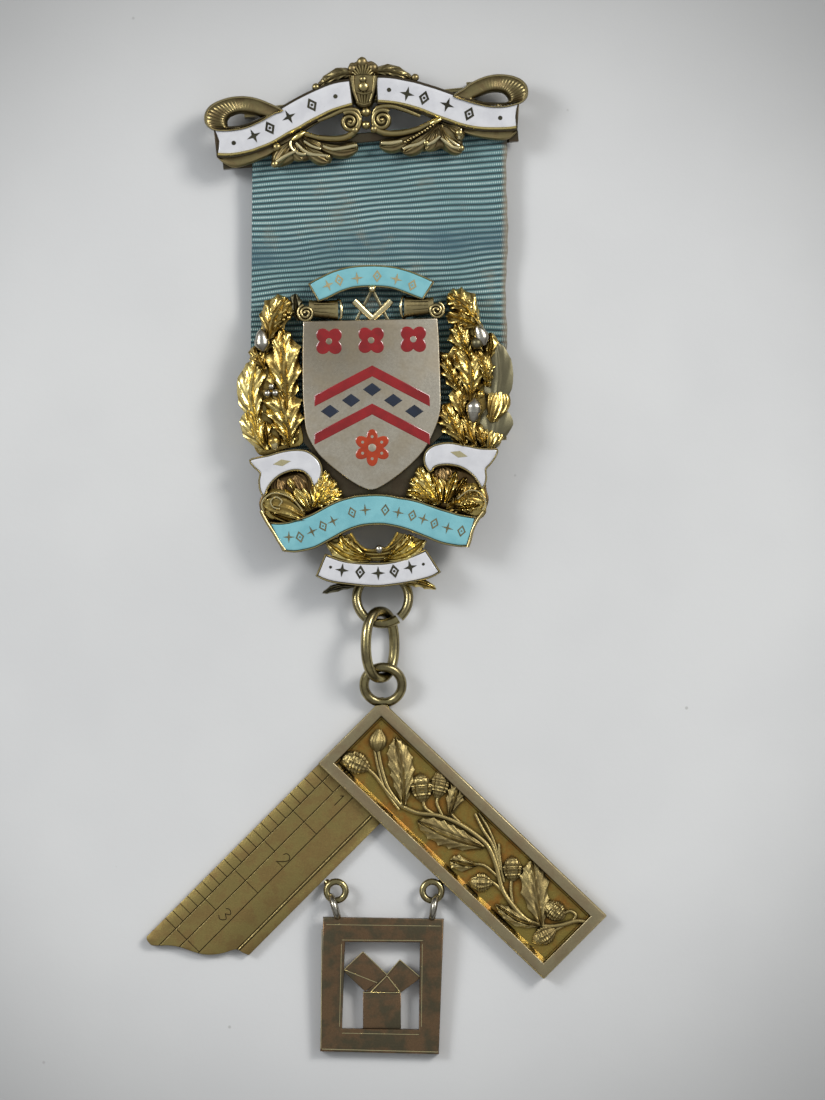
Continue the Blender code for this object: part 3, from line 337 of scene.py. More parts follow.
def acorn_parts(base, tip, width, height, flat=0.8, knurl=0.1, cup_share=0.5):
    """The cup and the nut of an acorn that lies along base to tip."""
    half = width / 2
    length = hypot(tip[0] - base[0], tip[1] - base[1])
    cup = []
    for k in range(21):
        share = k / 20
        cup.append((cup_share * share, half * (0.25 + 0.75 * sin(pi / 2 * min(share * 1.5, 1)))))
    cup += [(cup_share, half * 0.8), (cup_share - 0.04, half * 0.7)]
    nut_start = cup_share - 0.08
    nut = [(nut_start, half * 0.78)]
    for k in range(1, 12):
        share = k / 12
        nut.append((nut_start + (0.95 - nut_start) * share,
                    half * 0.88 * cos(pi / 2 * share) ** 0.45))
    nut += [(0.96, half * 0.14), (1.0, half * 0.05)]
    low = (*base, height)
    high = (*tip, height - 0.1 * length)
    return (
        turned(low, high, cup, sides=48, flat=flat, knurl=knurl, knurls=6),
        turned(low, high, nut, sides=32, flat=flat, knurl=0.6 * knurl, knurls=8),
    )


def leaf(path, width, low, high, lobes=4, cut=0.2, cant=0.0, drop=0.2, rib=0.12, ridge=0.12,
         slant=1.5, flutes=0, flute=0.1, flute_end=1.3, fullest=0.9, stalk=0.25, sweep=0.6,
         edge=0.35, depth=0.5, across=25):
    """A leaf from base to tip along a path. Sharp ridges run slanting from its middle rib to
    its lobes, its sides go down, and flutes can run along it from its base."""
    count = 12 * max(lobes, 4) + 1
    spine = spaced(curve(path), count)
    ahead = np.gradient(spine, axis=0)
    ahead /= np.linalg.norm(ahead, axis=1, keepdims=True)
    side = np.stack((-ahead[:, 1], ahead[:, 0]), 1)
    s = np.linspace(0, 1, count)[:, None]
    t = np.linspace(-1, 1, across)
    wide = np.abs(t)
    phase = lobes * s + 0.14 * np.sin(9 * s + 3 * path[0][0]) + 0.35 * (t > 0) - slant * wide
    crest = 1 - 2 * np.abs(np.sin(pi * phase)) ** 0.8 if lobes else np.zeros((count, across))
    swing = (np.where(t < 0, crest[:, :1], crest[:, -1:]) + 1) / 2
    envelope = np.maximum(np.sin(pi * s**fullest) ** 0.7, stalk * (1 - s))
    half = width / 2 * np.maximum(envelope, 0.05) * (1 - cut + cut * swing)
    reach = half * t
    forward = np.minimum(half * wide * sweep, (1 - s) * width)
    flat = (spine[:, None] + side[:, None] * reach[:, :, None]
            + ahead[:, None] * forward[:, :, None])
    middle = np.exp(-((t / 0.1) ** 2))
    beside = np.exp(-(((wide - 0.25) / 0.1) ** 2))
    shape = 1 - (1 - edge) * wide**2.2 + ridge * crest * np.minimum(1, 2 * wide)
    shape = shape + rib * middle - 0.6 * rib * beside
    if flutes:
        shape = shape + flute * np.clip(1 - s / flute_end, 0, 1) * np.cos(pi * flutes * t)
    along = (0.6 + 0.4 * np.sin(pi * (0.15 + 0.75 * s))) * (1 - drop * s**2)
    z = low + (high - low) * along * shape + cant * reach
    skirt = np.full((count, 1), low - depth)
    z = np.hstack((skirt, z, skirt))
    flat = np.concatenate((flat[:, :1], flat, flat[:, -1:]), axis=1)
    return skin(np.concatenate((flat, z[:, :, None]), axis=2))


def petal(path, width, low, high, **more):
    """An acanthus petal: fluted all along, it widens to a round tip."""
    settings = {"lobes": 0, "cut": 0.0, "rib": 0.0, "flutes": 3, "flute": 0.1, "flute_end": 2.0,
                "fullest": 1.7, "stalk": 0.45, "drop": -0.2, "edge": 0.55, "sweep": 0.25}
    settings.update(more)
    return leaf(path, width, low, high, **settings)


# Pieces


def as_object(name, shape):
    """A new object from points and faces, with all faces turned outwards."""
    points, faces = shape
    mesh = bpy.data.meshes.new(name)
    mesh.from_pydata(np.asarray(points).tolist(), [], faces)
    form = bmesh.new()
    form.from_mesh(mesh)
    bmesh.ops.recalc_face_normals(form, faces=form.faces)
    form.to_mesh(mesh)
    form.free()
    made = bpy.data.objects.new(name, mesh)
    bpy.context.scene.collection.objects.link(made)
    return made


class Piece:
    """Gathers shapes in millimetres, each with a material, and becomes one object."""

    def __init__(self, name, *kinds):
        self.name = name
        self.kinds = kinds
        self.points = []
        self.faces = []
        self.slots = []
        self.count = 0

    def add(self, shape, kind=None):
        points, faces = shape
        self.points.append(np.asarray(points, float))
        self.faces.extend(tuple(self.count + i for i in face) for face in faces)
        self.slots.extend([self.kinds.index(kind or self.kinds[0])] * len(faces))
        self.count += len(points)

    def wire(self, line, height, radius, kind=None, sides=8, closed=False):
        """A round wire over a flat line."""
        self.add(tube(lift(line, height), radius, sides, closed), kind)

    def bead(self, spot, height, radius, kind=None, tall=1.0):
        self.add(ball((*spot, height), radius, tall), kind)

    def finish(self, slot, sharp=38):
        """Makes the object, which takes the place of the CAD node with its name."""
        made = as_object(self.name, (np.vstack(self.points) * MM, self.faces))
        mesh = made.data
        mesh.polygons.foreach_set("material_index", self.slots)
        for kind in self.kinds:
            mesh.materials.append(MATERIALS[kind])
        mesh.shade_smooth()
        mesh.set_sharp_from_angle(angle=radians(sharp))
        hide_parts(self.name)
        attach(made, "root")
        return made


# Materials

MATERIALS = {}


class Nodes:
    """Short calls for the nodes of one material or of the world."""

    def __init__(self, tree):
        self.tree = tree

    def put(self, kind, settings=None, **inputs):
        node = self.tree.nodes.new(kind)
        for key, value in (settings or {}).items():
            setattr(node, key, value)
        for key, value in inputs.items():
            self.set(node, key.replace("_", " "), value)
        return node

    def set(self, node, key, value):
        socket = node.inputs[int(key)] if key.isdigit() else node.inputs[key]
        if isinstance(value, bpy.types.NodeSocket):
            self.tree.links.new(value, socket)
        elif isinstance(value, tuple) and len(value) == 3 and socket.type == "RGBA":
            socket.default_value = (*value, 1)
        else:
            socket.default_value = value

    def math(self, operation, a, b=0.0):
        node = self.put("ShaderNodeMath", {"operation": operation})
        self.set(node, "0", a)
        self.set(node, "1", b)
        return node.outputs[0]

    def span(self, value, low, high, new_low=0.0, new_high=1.0):
        node = self.put("ShaderNodeMapRange", {"interpolation_type": "SMOOTHSTEP"})
        for key, number in enumerate((value, low, high, new_low, new_high)):
            self.set(node, str(key), number)
        return node.outputs[0]

    def mix(self, share, a, b):
        node = self.put("ShaderNodeMix", {"data_type": "RGBA"})
        self.set(node, "0", share)
        self.set(node, "6", a)
        self.set(node, "7", b)
        return node.outputs[2]

    def place(self):
        return self.put("ShaderNodeTexCoord").outputs["Object"]

    def distance(self, middle=(0, 0, 0)):
        node = self.put("ShaderNodeVectorMath", {"operation": "DISTANCE"})
        self.set(node, "0", self.place())
        self.set(node, "1", middle)
        return node.outputs["Value"]

    def noise(self, size, detail=3.0, rough=0.55):
        """Noise whose features are about size millimetres wide."""
        node = self.put("ShaderNodeTexNoise", Vector=self.place(), Scale=1 / (size * MM),
                        Detail=detail, Roughness=rough)
        return node.outputs[0]

    def bump(self, height, distance, strength=1.0, under=None):
        node = self.put("ShaderNodeBump", Height=height, Distance=distance * MM,
                        Strength=strength)
        if under:
            self.set(node, "Normal", under)
        return node.outputs[0]


def new_material(name):
    made = bpy.data.materials.new(name)
    made.use_nodes = True
    nodes = Nodes(made.node_tree)
    shader = made.node_tree.nodes["Principled BSDF"]
    MATERIALS[name] = made
    return nodes, shader


def metal(name, bright, worn, tarnish_and_shade, rough=(0.25, 0.45), recess=0.7, blotch=3.0, grain=0.12,
          grain_height=0.012, wear_and_sheen=(0.5, 0.6), patina_and_shade=None):
    """Old gilt or silver, worn in blotches. Crests are painted bright, a painted highlight that
    also stands for wear, and hollows are painted dark, a painted shade that also stands for
    tarnish.
    A patina is a colour, a middle in metres and two distances between which it fades; on the silver
    it is also painted shade."""
    nodes, shader = new_material(name)
    patches = nodes.noise(blotch, detail=4.0, rough=0.6)
    base = nodes.mix(nodes.span(patches, 0.38, 0.62), worn, bright)
    # The patina darkens round a middle and fades with distance; on the silver shield it is tarnish
    # and also painted shade, leaving the lower part lighter as a painted reflection gradient.
    if patina_and_shade:
        colour, middle, full, none = patina_and_shade
        ragged = nodes.math("ADD", nodes.distance(middle), nodes.math("MULTIPLY", patches, 5 * MM))
        base = nodes.mix(nodes.span(ragged, full, none, 0.8, 0.0), base, colour)
    # Painted highlight: the sharpest crests, found by pointiness, are painted bright; this stands
    # for rubbed wear and also for the highlights on them.
    crest = nodes.put("ShaderNodeNewGeometry").outputs["Pointiness"]
    base = nodes.mix(nodes.span(crest, wear_and_sheen[0], wear_and_sheen[1]), base, bright)
    # Painted shade: the hollows, found by ambient occlusion, are painted towards the tarnish
    # colour, so their darkness is painted shade as well as tarnish.
    hollow = nodes.put("ShaderNodeAmbientOcclusion", {"samples": 6}, Distance=recess * MM)
    open_sky = nodes.span(hollow.outputs["AO"], 0.25, 0.95)
    base = nodes.mix(open_sky, tarnish_and_shade, base)
    fine = nodes.noise(grain, detail=2.0)
    speckle = nodes.span(fine, 0.3, 0.7)
    base = nodes.mix(nodes.math("MULTIPLY", speckle, 0.16), base, tarnish_and_shade)
    nodes.set(shader, "Base Color", base)
    dull = nodes.span(patches, 0.35, 0.65, rough[1], rough[0])
    nodes.set(shader, "Roughness", dull)
    nodes.set(shader, "Metallic", 1.0)
    nodes.set(shader, "Normal", nodes.bump(fine, grain_height))


def enamel(name, colour, shade, speck=0.0):
    """Glossy fired enamel with faint clouding, tiny pits and a ripple."""
    nodes, shader = new_material(name)
    cloud = nodes.span(nodes.noise(2.2, detail=4.0), 0.35, 0.7)
    base = nodes.mix(cloud, colour, shade)
    pits = nodes.put("ShaderNodeTexVoronoi", Vector=nodes.place(), Scale=1 / (0.55 * MM))
    dots = nodes.span(pits.outputs["Distance"], 0.05, 0.1, speck, 0.0)
    base = nodes.mix(dots, base, (0.12, 0.1, 0.08))
    nodes.set(shader, "Base Color", base)
    nodes.set(shader, "Roughness", 0.22)
    nodes.set(shader, "Coat Weight", 0.3)
    nodes.set(shader, "Coat Roughness", 0.06)
    nodes.set(shader, "Normal", nodes.bump(nodes.noise(0.9, detail=2.0), 0.01))


def make_materials():
    """All materials. On a flat plate no crest should be painted bright, so the start of its painted
    crest highlight and wear is out of reach.
    """
    flat = (1.1, 1.2)
    metal("bar_gilt", (0.42, 0.34, 0.15), (0.25, 0.20, 0.09), (0.05, 0.036, 0.018),
          rough=(0.24, 0.38))
    metal("curl_gilt", (0.30, 0.245, 0.112), (0.19, 0.142, 0.068), (0.06, 0.042, 0.022),
          rough=(0.28, 0.42), blotch=1.6)
    # edge_gilt is dark gilt for parts that lie low or behind; its darkness is partly tarnish,
    # partly painted shade.
    metal("edge_gilt", (0.12, 0.10, 0.062), (0.085, 0.065, 0.042), (0.02, 0.016, 0.01), wear_and_sheen=flat)
    metal("wreath_gilt", (0.59, 0.45, 0.15), (0.37, 0.25, 0.07), (0.085, 0.055, 0.017),
          rough=(0.19, 0.34), blotch=2.2, recess=0.6, grain=0.3, grain_height=0.03)
    metal("sun_gilt", (0.84, 0.69, 0.27), (0.60, 0.46, 0.16), (0.15, 0.105, 0.03),
          rough=(0.2, 0.34), blotch=2.0, recess=0.25, grain=0.3, grain_height=0.02)
    # brown_gilt is a darker copy of the gilt: painted shade for the feet's grounds and the low
    # leaves in the hollows under the curls.
    metal("brown_gilt", (0.18, 0.12, 0.05), (0.115, 0.072, 0.03), (0.06, 0.035, 0.018),
          rough=(0.25, 0.4), blotch=2.0, recess=0.3)
    metal("dull_gilt", (0.20, 0.18, 0.105), (0.14, 0.125, 0.075), (0.04, 0.032, 0.018),
          rough=(0.34, 0.46), blotch=3.5)
    metal("rim_gilt", (0.54, 0.44, 0.21), (0.34, 0.27, 0.13), (0.06, 0.045, 0.022),
          rough=(0.2, 0.36))
    metal("pale_gilt", (0.92, 0.80, 0.46), (0.76, 0.62, 0.30), (0.14, 0.10, 0.04),
          rough=(0.14, 0.27))
    metal("ring_gilt", (0.38, 0.32, 0.15), (0.19, 0.155, 0.08), (0.03, 0.025, 0.015), blotch=1.6,
          rough=(0.13, 0.26))
    metal("square_gilt", (0.40, 0.33, 0.19), (0.29, 0.225, 0.13), (0.05, 0.04, 0.025),
          rough=(0.3, 0.44), grain=0.09, blotch=2.6, wear_and_sheen=flat)
    metal("relief_gilt", (0.37, 0.29, 0.12), (0.235, 0.177, 0.075), (0.06, 0.043, 0.018),
          rough=(0.36, 0.5), grain=0.17, grain_height=0.035)
    metal("floor_gilt", (0.375, 0.275, 0.07), (0.31, 0.15, 0.033), (0.06, 0.04, 0.012),
          blotch=2.6, grain=0.16, grain_height=0.03, recess=0.5, wear_and_sheen=flat)
    metal("blade_gilt", (0.325, 0.248, 0.088), (0.245, 0.17, 0.064), (0.05, 0.036, 0.016),
          rough=(0.36, 0.5), grain=0.16, grain_height=0.025, blotch=2.0, wear_and_sheen=flat)
    metal("plaque_gilt", (0.25, 0.155, 0.085), (0.125, 0.105, 0.065), (0.03, 0.022, 0.014),
          rough=(0.26, 0.4), blotch=2.4, grain=0.2, wear_and_sheen=flat)
    # groove is dark gilt for the faces cut inside the engraved lines: painted shade in the grooves,
    # and tarnish.
    metal("groove", (0.12, 0.09, 0.045), (0.09, 0.065, 0.03), (0.02, 0.015, 0.01),
          rough=(0.5, 0.6))
    # The middle of the silver's dark patina, near the shield's top left: tarnish, and painted shade
    # that leaves the lower shield lighter.
    dark_patch = (*(part * MM for part in EMBLEM.at(330, 330)), SHIELD_FACE * MM)
    metal("silver", (0.74, 0.665, 0.53), (0.52, 0.45, 0.335), (0.2, 0.15, 0.1),
          rough=(0.24, 0.38), blotch=5.0, recess=0.3, grain=0.3, wear_and_sheen=flat,
          patina_and_shade=((0.30, 0.24, 0.155), dark_patch, 2 * MM, 17 * MM))
    metal("loop_silver", (0.46, 0.43, 0.36), (0.27, 0.25, 0.20), (0.05, 0.04, 0.03),
          rough=(0.14, 0.26))
    metal("bright_silver", (0.56, 0.53, 0.45), (0.36, 0.33, 0.27), (0.08, 0.065, 0.045),
          rough=(0.2, 0.32), blotch=1.2)
    enamel("white_enamel", (0.57, 0.57, 0.585), (0.50, 0.50, 0.52), speck=0.25)
    enamel("turquoise_enamel", (0.185, 0.43, 0.465), (0.145, 0.37, 0.41), speck=0.1)
    enamel("red_enamel", (0.24, 0.007, 0.008), (0.17, 0.005, 0.005))
    enamel("orange_enamel", (0.35, 0.034, 0.003), (0.27, 0.024, 0.002))
    enamel("dark_enamel", (0.012, 0.018, 0.035), (0.008, 0.012, 0.022))
    metal("mark_dark", (0.08, 0.075, 0.05), (0.05, 0.045, 0.03), (0.02, 0.02, 0.015))
    metal("mark_gilt", (0.26, 0.225, 0.12), (0.17, 0.145, 0.075), (0.05, 0.04, 0.02))
    make_cloth()


# The ribbon's weave in millimetres, and its colours, painted shade and painted sheen among them
RIB_PITCH = 0.70
THREAD_PITCH = 0.26
# Where the painted shadow band crosses the ribbon, measured from the bar
HOLLOW_SHADE_FROM_BAR = 12.0
RIBBON_WIDTH = 32.0
# Painted shade in the valleys between the ribs
VALLEY_SHADE_COLOUR = (0.012, 0.036, 0.042)
SLOPE_COLOUR = (0.085, 0.195, 0.205)
# Painted sheen on the rib crests, dashed as the threads run
THREAD_SHEEN_COLOUR = (0.62, 0.72, 0.67)
# The colour of the painted shadow band
HOLLOW_SHADE_COLOUR = (0.02, 0.07, 0.10)
STAIN_COLOUR = (0.21, 0.18, 0.11)
SELVEDGE_COLOUR = (0.26, 0.20, 0.13)


def make_cloth():
    """Ribbed silk: painted sheen on the threads at the ribs' crests, painted shade in the valleys,
    a painted blue shadow band across it where it dips, stains and a brown right selvedge. The UV
    map holds millimetres across and along the ribbon."""
    nodes, shader = new_material("ribbon_cloth")
    uv = nodes.put("ShaderNodeUVMap", {"uv_map": "weave"}).outputs[0]
    parts = nodes.put("ShaderNodeSeparateXYZ", Vector=uv)
    rib = nodes.math("MULTIPLY", parts.outputs["Y"], 1 / RIB_PITCH)
    number = nodes.math("FLOOR", rib)
    in_rib = nodes.math("FRACT", rib)
    crest = nodes.math("SINE", nodes.math("MULTIPLY", in_rib, pi))
    shift = nodes.math("MULTIPLY", number, pi)
    run = nodes.math("MULTIPLY", parts.outputs["X"], 2 * pi / THREAD_PITCH)
    thread = nodes.math("SINE", nodes.math("ADD", run, shift))
    lit = nodes.span(thread, -0.3, 0.7)
    # Painted shade: the valleys between the ribs are painted dark.
    base = nodes.mix(nodes.span(crest, 0.2, 0.8), VALLEY_SHADE_COLOUR, SLOPE_COLOUR)
    # Painted sheen: the threads are painted bright on the ribs' crests, stronger in some patches
    # than in others.
    share = nodes.math("MULTIPLY", lit, nodes.span(crest, 0.78, 0.98, 0.0, 1.0))
    wear_and_sheen = nodes.span(nodes.noise(7.0, detail=4.0), 0.3, 0.7, 0.45, 1.0)
    base = nodes.mix(nodes.math("MULTIPLY", share, wear_and_sheen), base, THREAD_SHEEN_COLOUR)
    # Painted shadow: a dark blue band across the ribbon where it dips.
    along = RIBBON_TAIL + pi * FOLD_RADIUS + STRIP_WIDTH - STRIP_DROP + HOLLOW_SHADE_FROM_BAR
    away = nodes.math("ABSOLUTE", nodes.math("SUBTRACT", parts.outputs["Y"], along))
    uneven = nodes.span(nodes.noise(9.0), 0.35, 0.65, 0.2, 0.75)
    hollow = nodes.math("MULTIPLY", nodes.span(away, 0.3, 3.0, 1.0, 0.0), uneven)
    base = nodes.mix(hollow, base, HOLLOW_SHADE_COLOUR)
    dark_patch = nodes.span(nodes.noise(6.5, detail=5.0, rough=0.65), 0.56, 0.76)
    base = nodes.mix(nodes.math("MULTIPLY", dark_patch, 0.4), base, STAIN_COLOUR)
    fray = nodes.span(parts.outputs["X"], RIBBON_WIDTH / 2 - 0.9, RIBBON_WIDTH / 2 - 0.1)
    base = nodes.mix(nodes.math("MULTIPLY", fray, 0.7), base, SELVEDGE_COLOUR)
    nodes.set(shader, "Base Color", base)
    nodes.set(shader, "Roughness", 0.7)
    nodes.set(shader, "Sheen Weight", 0.15)
    fuzz = nodes.noise(0.16, detail=2.0)
    rough = nodes.bump(thread, 0.03, 0.9)
    nodes.set(shader, "Normal", nodes.bump(fuzz, 0.02, 0.5, under=rough))


# Marks, a generic pattern of lozenges and stars


def turned_outline(shape, centre, angle):
    """An outline about the origin, turned and moved to a centre."""
    return [(
        centre[0] + x * cos(angle) - y * sin(angle),
        centre[1] + x * sin(angle) + y * cos(angle),
    ) for x, y in shape]


def lozenge(wide, tall):
    return [(wide, 0), (0, tall), (-wide, 0), (0, -tall)]


def star(radius, waist):
    """A star with four points."""
    return [(reach * cos(turn), reach * sin(turn)) for reach, turn in zip(
        (radius, waist) * 4, pi / 2 + pi / 4 * np.arange(8))]


def add_mark(piece, number, centre, angle, height, stroke, face, kind):
    """Odd marks are open lozenges and even ones are four-pointed stars."""
    low = face - 0.1
    high = face + 0.04
    wide = height * 0.36
    tall = height * 0.5
    if number % 2:
        outer = turned_outline(lozenge(wide, tall), centre, angle)
        hole = turned_outline(lozenge(wide - stroke, tall - 1.4 * stroke), centre, angle)
        piece.add(plate(outer, low, high, holes=[hole]), kind)
        piece.add(plate(disc(centre, stroke * 0.55, 8), low, high), kind)
    else:
        outer = turned_outline(star(tall, stroke * 0.9), centre, angle)
        piece.add(plate(outer, low, high), kind)


def marks_along(piece, grid, places, height, stroke, face, kind):
    """Marks at places of a grid, each turned to follow its neighbours."""
    spots = [grid.at(x, y) for x, y in places]
    for i, spot in enumerate(spots):
        near = spots[max(i - 1, 0)]
        far = spots[min(i + 1, len(spots) - 1)]
        angle = atan2(far[1] - near[1], far[0] - near[0])
        add_mark(piece, i, spot, angle, height, stroke, face, kind)


# Bar brooch

LEFT_FIELD = ([(215, 130.5), (222, 130.5), (230, 130), (240, 129), (250, 126.5), (260, 122),
               (270, 117), (280, 111), (290, 105), (300, 99.5), (310, 94.5), (320, 90), (330, 86),
               (340, 83.5), (349, 82.5)],
              [(352, 105), (340, 108.5), (330, 112), (320, 117), (310, 122), (300, 128), (290, 133),
               (280, 139), (270, 144.5), (260, 148.5), (250, 152), (235, 155), (225, 155.5),
               (218, 155)])
RIGHT_FIELD = ([(377, 79), (385, 79), (395, 80), (405, 82), (415, 84), (425, 87), (435, 90),
                (445, 93.5), (455, 97), (465, 100.5), (475, 103.5), (485, 105.5), (495, 106),
                (505, 106), (518, 103)],
               [(516, 128), (510, 129), (500, 129.5), (490, 129.5), (480, 129), (470, 127.5),
                (460, 125), (450, 121.5), (440, 118), (430, 114), (420, 110), (410, 107),
                (400, 104.5), (390, 103), (378, 102)])
LEFT_MARKS = [(254, 137), (270, 129), (289, 118), (312, 106)]
LEFT_DOTS = [(234, 144), (335.5, 97.5)]
RIGHT_MARKS = [(407, 95), (424, 99), (447, 106), (469, 115)]
RIGHT_DOTS = [(389, 91), (500, 119)]
# The lower slope of the scroll: squares along and how wide the slope is there
LEFT_SLOPE = ((217, 222, 235, 270, 330), (2, 7, 12.5, 10.5, 3.5))
RIGHT_SLOPE = ((430, 475, 500, 510, 516), (3.5, 8, 10.5, 9, 4))
LEFT_END = [(219, 150), (219.5, 142), (217, 135)]
RIGHT_END = [(515, 118), (516, 110)]
LEFT_CURL = [(284, 111), (270, 104), (260, 100), (250, 97.5), (240, 97), (230, 98), (220, 101),
             (212, 105), (207, 110), (204.5, 116), (204.5, 122), (207, 127), (213, 131), (222, 132),
             (232, 131.5), (246, 129), (262, 122), (276, 114)]
LEFT_HOLE = [(263, 119), (258, 117), (250, 115), (240, 114.5), (232, 117), (228, 121), (228, 126),
             (231, 128.5), (238, 128), (250, 125)]
RIGHT_CURL = [(452, 97), (462, 90), (470, 84), (480, 79), (490, 76), (500, 75), (510, 76),
              (520, 79.5), (526, 85), (528, 91), (527.5, 97), (524, 102), (518, 105), (505, 108),
              (490, 108), (475, 105), (462, 101)]
RIGHT_HOLE = [(475, 100), (480, 97), (488, 94), (495, 93), (502, 94), (506, 97), (508, 101),
              (505, 104), (498, 105), (488, 104.5)]
CURL_RIBS = 44


def curl_band(gilt, outer, hole, far):
    """A rolled scroll end seen from above: a lip, then a hollow fan with fine ribs that are
    strongest at the far end, then the hole's dark wall."""
    bottom = METAL_BACK + 0.2
    crest = BAR_FACE + 0.25
    count = 6 * CURL_RIBS
    outside = spaced(BAR.line(outer, 4, closed=True), count, closed=True)
    inside = spaced(BAR.line(hole, 4, closed=True), count, closed=True)
    inside = np.roll(inside, -np.argmin(np.linalg.norm(inside - outside[0], axis=1)), 0)
    place = (outside[:, 0] - outside[:, 0].min()) / np.ptp(outside[:, 0])
    near_end = np.clip(1 - np.abs(place - far) / 0.7, 0, 1)
    profile = [(0.0, bottom, 0), (0.0, crest - 0.5, 0), (0.03, crest - 0.16, 0),
               (0.08, crest, 0), (0.14, crest - 0.08, 0), (0.2, crest - 0.18, 0.5),
               (0.3, crest - 0.23, 1), (0.42, crest - 0.24, 1), (0.54, crest - 0.22, 1),
               (0.66, crest - 0.18, 1), (0.76, crest - 0.16, 0.6), (0.84, crest - 0.24, 0),
               (0.92, crest - 0.5, 0), (1.0, crest - 1.0, 0), (1.0, bottom, 0)]
    turn = np.arange(count) * 2 * pi / count
    rows = []
    for share, height, ribbed in profile:
        z = height + 0.05 * ribbed * near_end * np.cos(CURL_RIBS * turn)
        rows.append(lift(outside * (1 - share) + inside * share, z))
    gilt.add(skin(rows, along=True, caps=False), "curl_gilt")
    gilt.wire(outside * 0.9 + inside * 0.1, crest - 0.03, 0.1, "rim_gilt", closed=True)


def make_bar():
    """The scroll's gilt body, its curled ends, the clasp, the palmette, leaves and volutes."""
    gilt = Piece("top_bar", "bar_gilt", "rim_gilt", "curl_gilt", "edge_gilt",
                 "sun_gilt", "pale_gilt")
    right_outline = np.vstack((BAR.line(RIGHT_FIELD[0], 2), BAR.all(RIGHT_END[::-1]),
                               BAR.line(RIGHT_FIELD[1], 2)))
    left_outline = np.vstack((BAR.line(LEFT_FIELD[0], 2), BAR.line(LEFT_FIELD[1], 2),
                              BAR.all(LEFT_END)))
    add_field(gilt, "bar_enamel_left", LEFT_FIELD, left_outline, LEFT_SLOPE, LEFT_MARKS, LEFT_DOTS)
    add_field(gilt, "bar_enamel_right", RIGHT_FIELD, right_outline, RIGHT_SLOPE, RIGHT_MARKS,
              RIGHT_DOTS)
    curl_band(gilt, LEFT_CURL, LEFT_HOLE, 0)
    curl_band(gilt, RIGHT_CURL, RIGHT_HOLE, 1)
    add_clasp(gilt)
    add_bar_foliage(gilt)
    add_bar_back(gilt)
    gilt.finish("gilt")


def add_field(gilt, name, field, outline, slope, marks, dots):
    """One half of the scroll: the body, its lower slope, the rims, the enamel and the marks."""
    unit = BAR.square
    top, foot = field
    body = np.vstack((BAR.line([(x, y - 1.5) for x, y in top], 2),
                      BAR.line([(x, y + 2) for x, y in foot], 2)))
    gilt.add(plate(inset(body, -1.2 * unit), METAL_BACK + 0.1, BAR_FACE - 0.12, bevel=0.1),
             "edge_gilt")
    gilt.wire(inset(outline, -0.7 * unit), BAR_FACE - 0.05, 0.1, "edge_gilt", closed=True)
    # Painted highlight: a bright gilt wire along the enamel's lower edge.
    gilt.wire(BAR.line(foot, 3), BAR_FACE - 0.03, 0.17, "sun_gilt")
    rows = []
    for share, height in ((0.0, -0.05), (0.1, -0.25), (0.25, -0.48), (0.42, -0.58), (0.58, -0.56),
                          (0.72, -0.5), (0.84, -0.5), (0.93, -0.6), (1.0, -0.9)):
        line = [(x, y + 1 + share * np.interp(x, *slope)) for x, y in foot]
        rows.append(lift(BAR.line(line, 3), BAR_FACE + height))
    low = lift(rows[-1], METAL_BACK + 0.1)
    back = lift(rows[0], METAL_BACK + 0.1)
    gilt.add(skin(np.stack((*rows, low, back), 1)), "curl_gilt")
    gilt.add(tube(rows[-1] + np.array((0, 0.1, 0.05)), 0.1, 8), "rim_gilt")
    fill = Piece(name, "white_enamel", "mark_dark")
    fill.add(pillow(outline, BAR_FACE - 0.6, BAR_FACE - 0.04, BAR_FACE + 0.05, 0.35))
    marks_along(fill, BAR, marks, 15 * unit, 2.6 * unit, BAR_FACE + 0.05, "mark_dark")
    for x, y in dots:
        fill.add(plate(disc(BAR.at(x, y), 2.2 * unit, 14), BAR_FACE - 0.1, BAR_FACE + 0.09),
                 "mark_dark")
    fill.finish("white_enamel")


CLASP = [(347.5, 78), (354, 74), (364, 73), (373, 74), (379.5, 76), (378.5, 86), (375.5, 97),
         (372, 107), (364, 111), (356, 107), (352, 97), (349, 87)]
CLASP_SIDES = [[(352.5, 77), (354, 92), (359, 106)], [(375, 77), (373, 92), (369, 106)]]
CLASP_BEAD = (363.5, 88)
CLASP_BUD = (363, 80.5)
CLASP_MIDDLE = 364
CLASP_FOLDS = (358.5, 361.5, 365, 368.5)
CLASP_BANDS = (94, 104.5)
PALMETTE = [(347, 79), (347, 72), (350, 64), (355, 63), (358, 60.5), (361, 57.5), (365, 58.5),
            (367.5, 62), (372, 62), (377.5, 66), (378.5, 72), (379, 79)]
PALMETTE_BEADS = [(362, 63, 5.2), (352, 69.5, 4.2), (373, 68.5, 4.2)]
PALMETTE_FOOT = (363, 81)


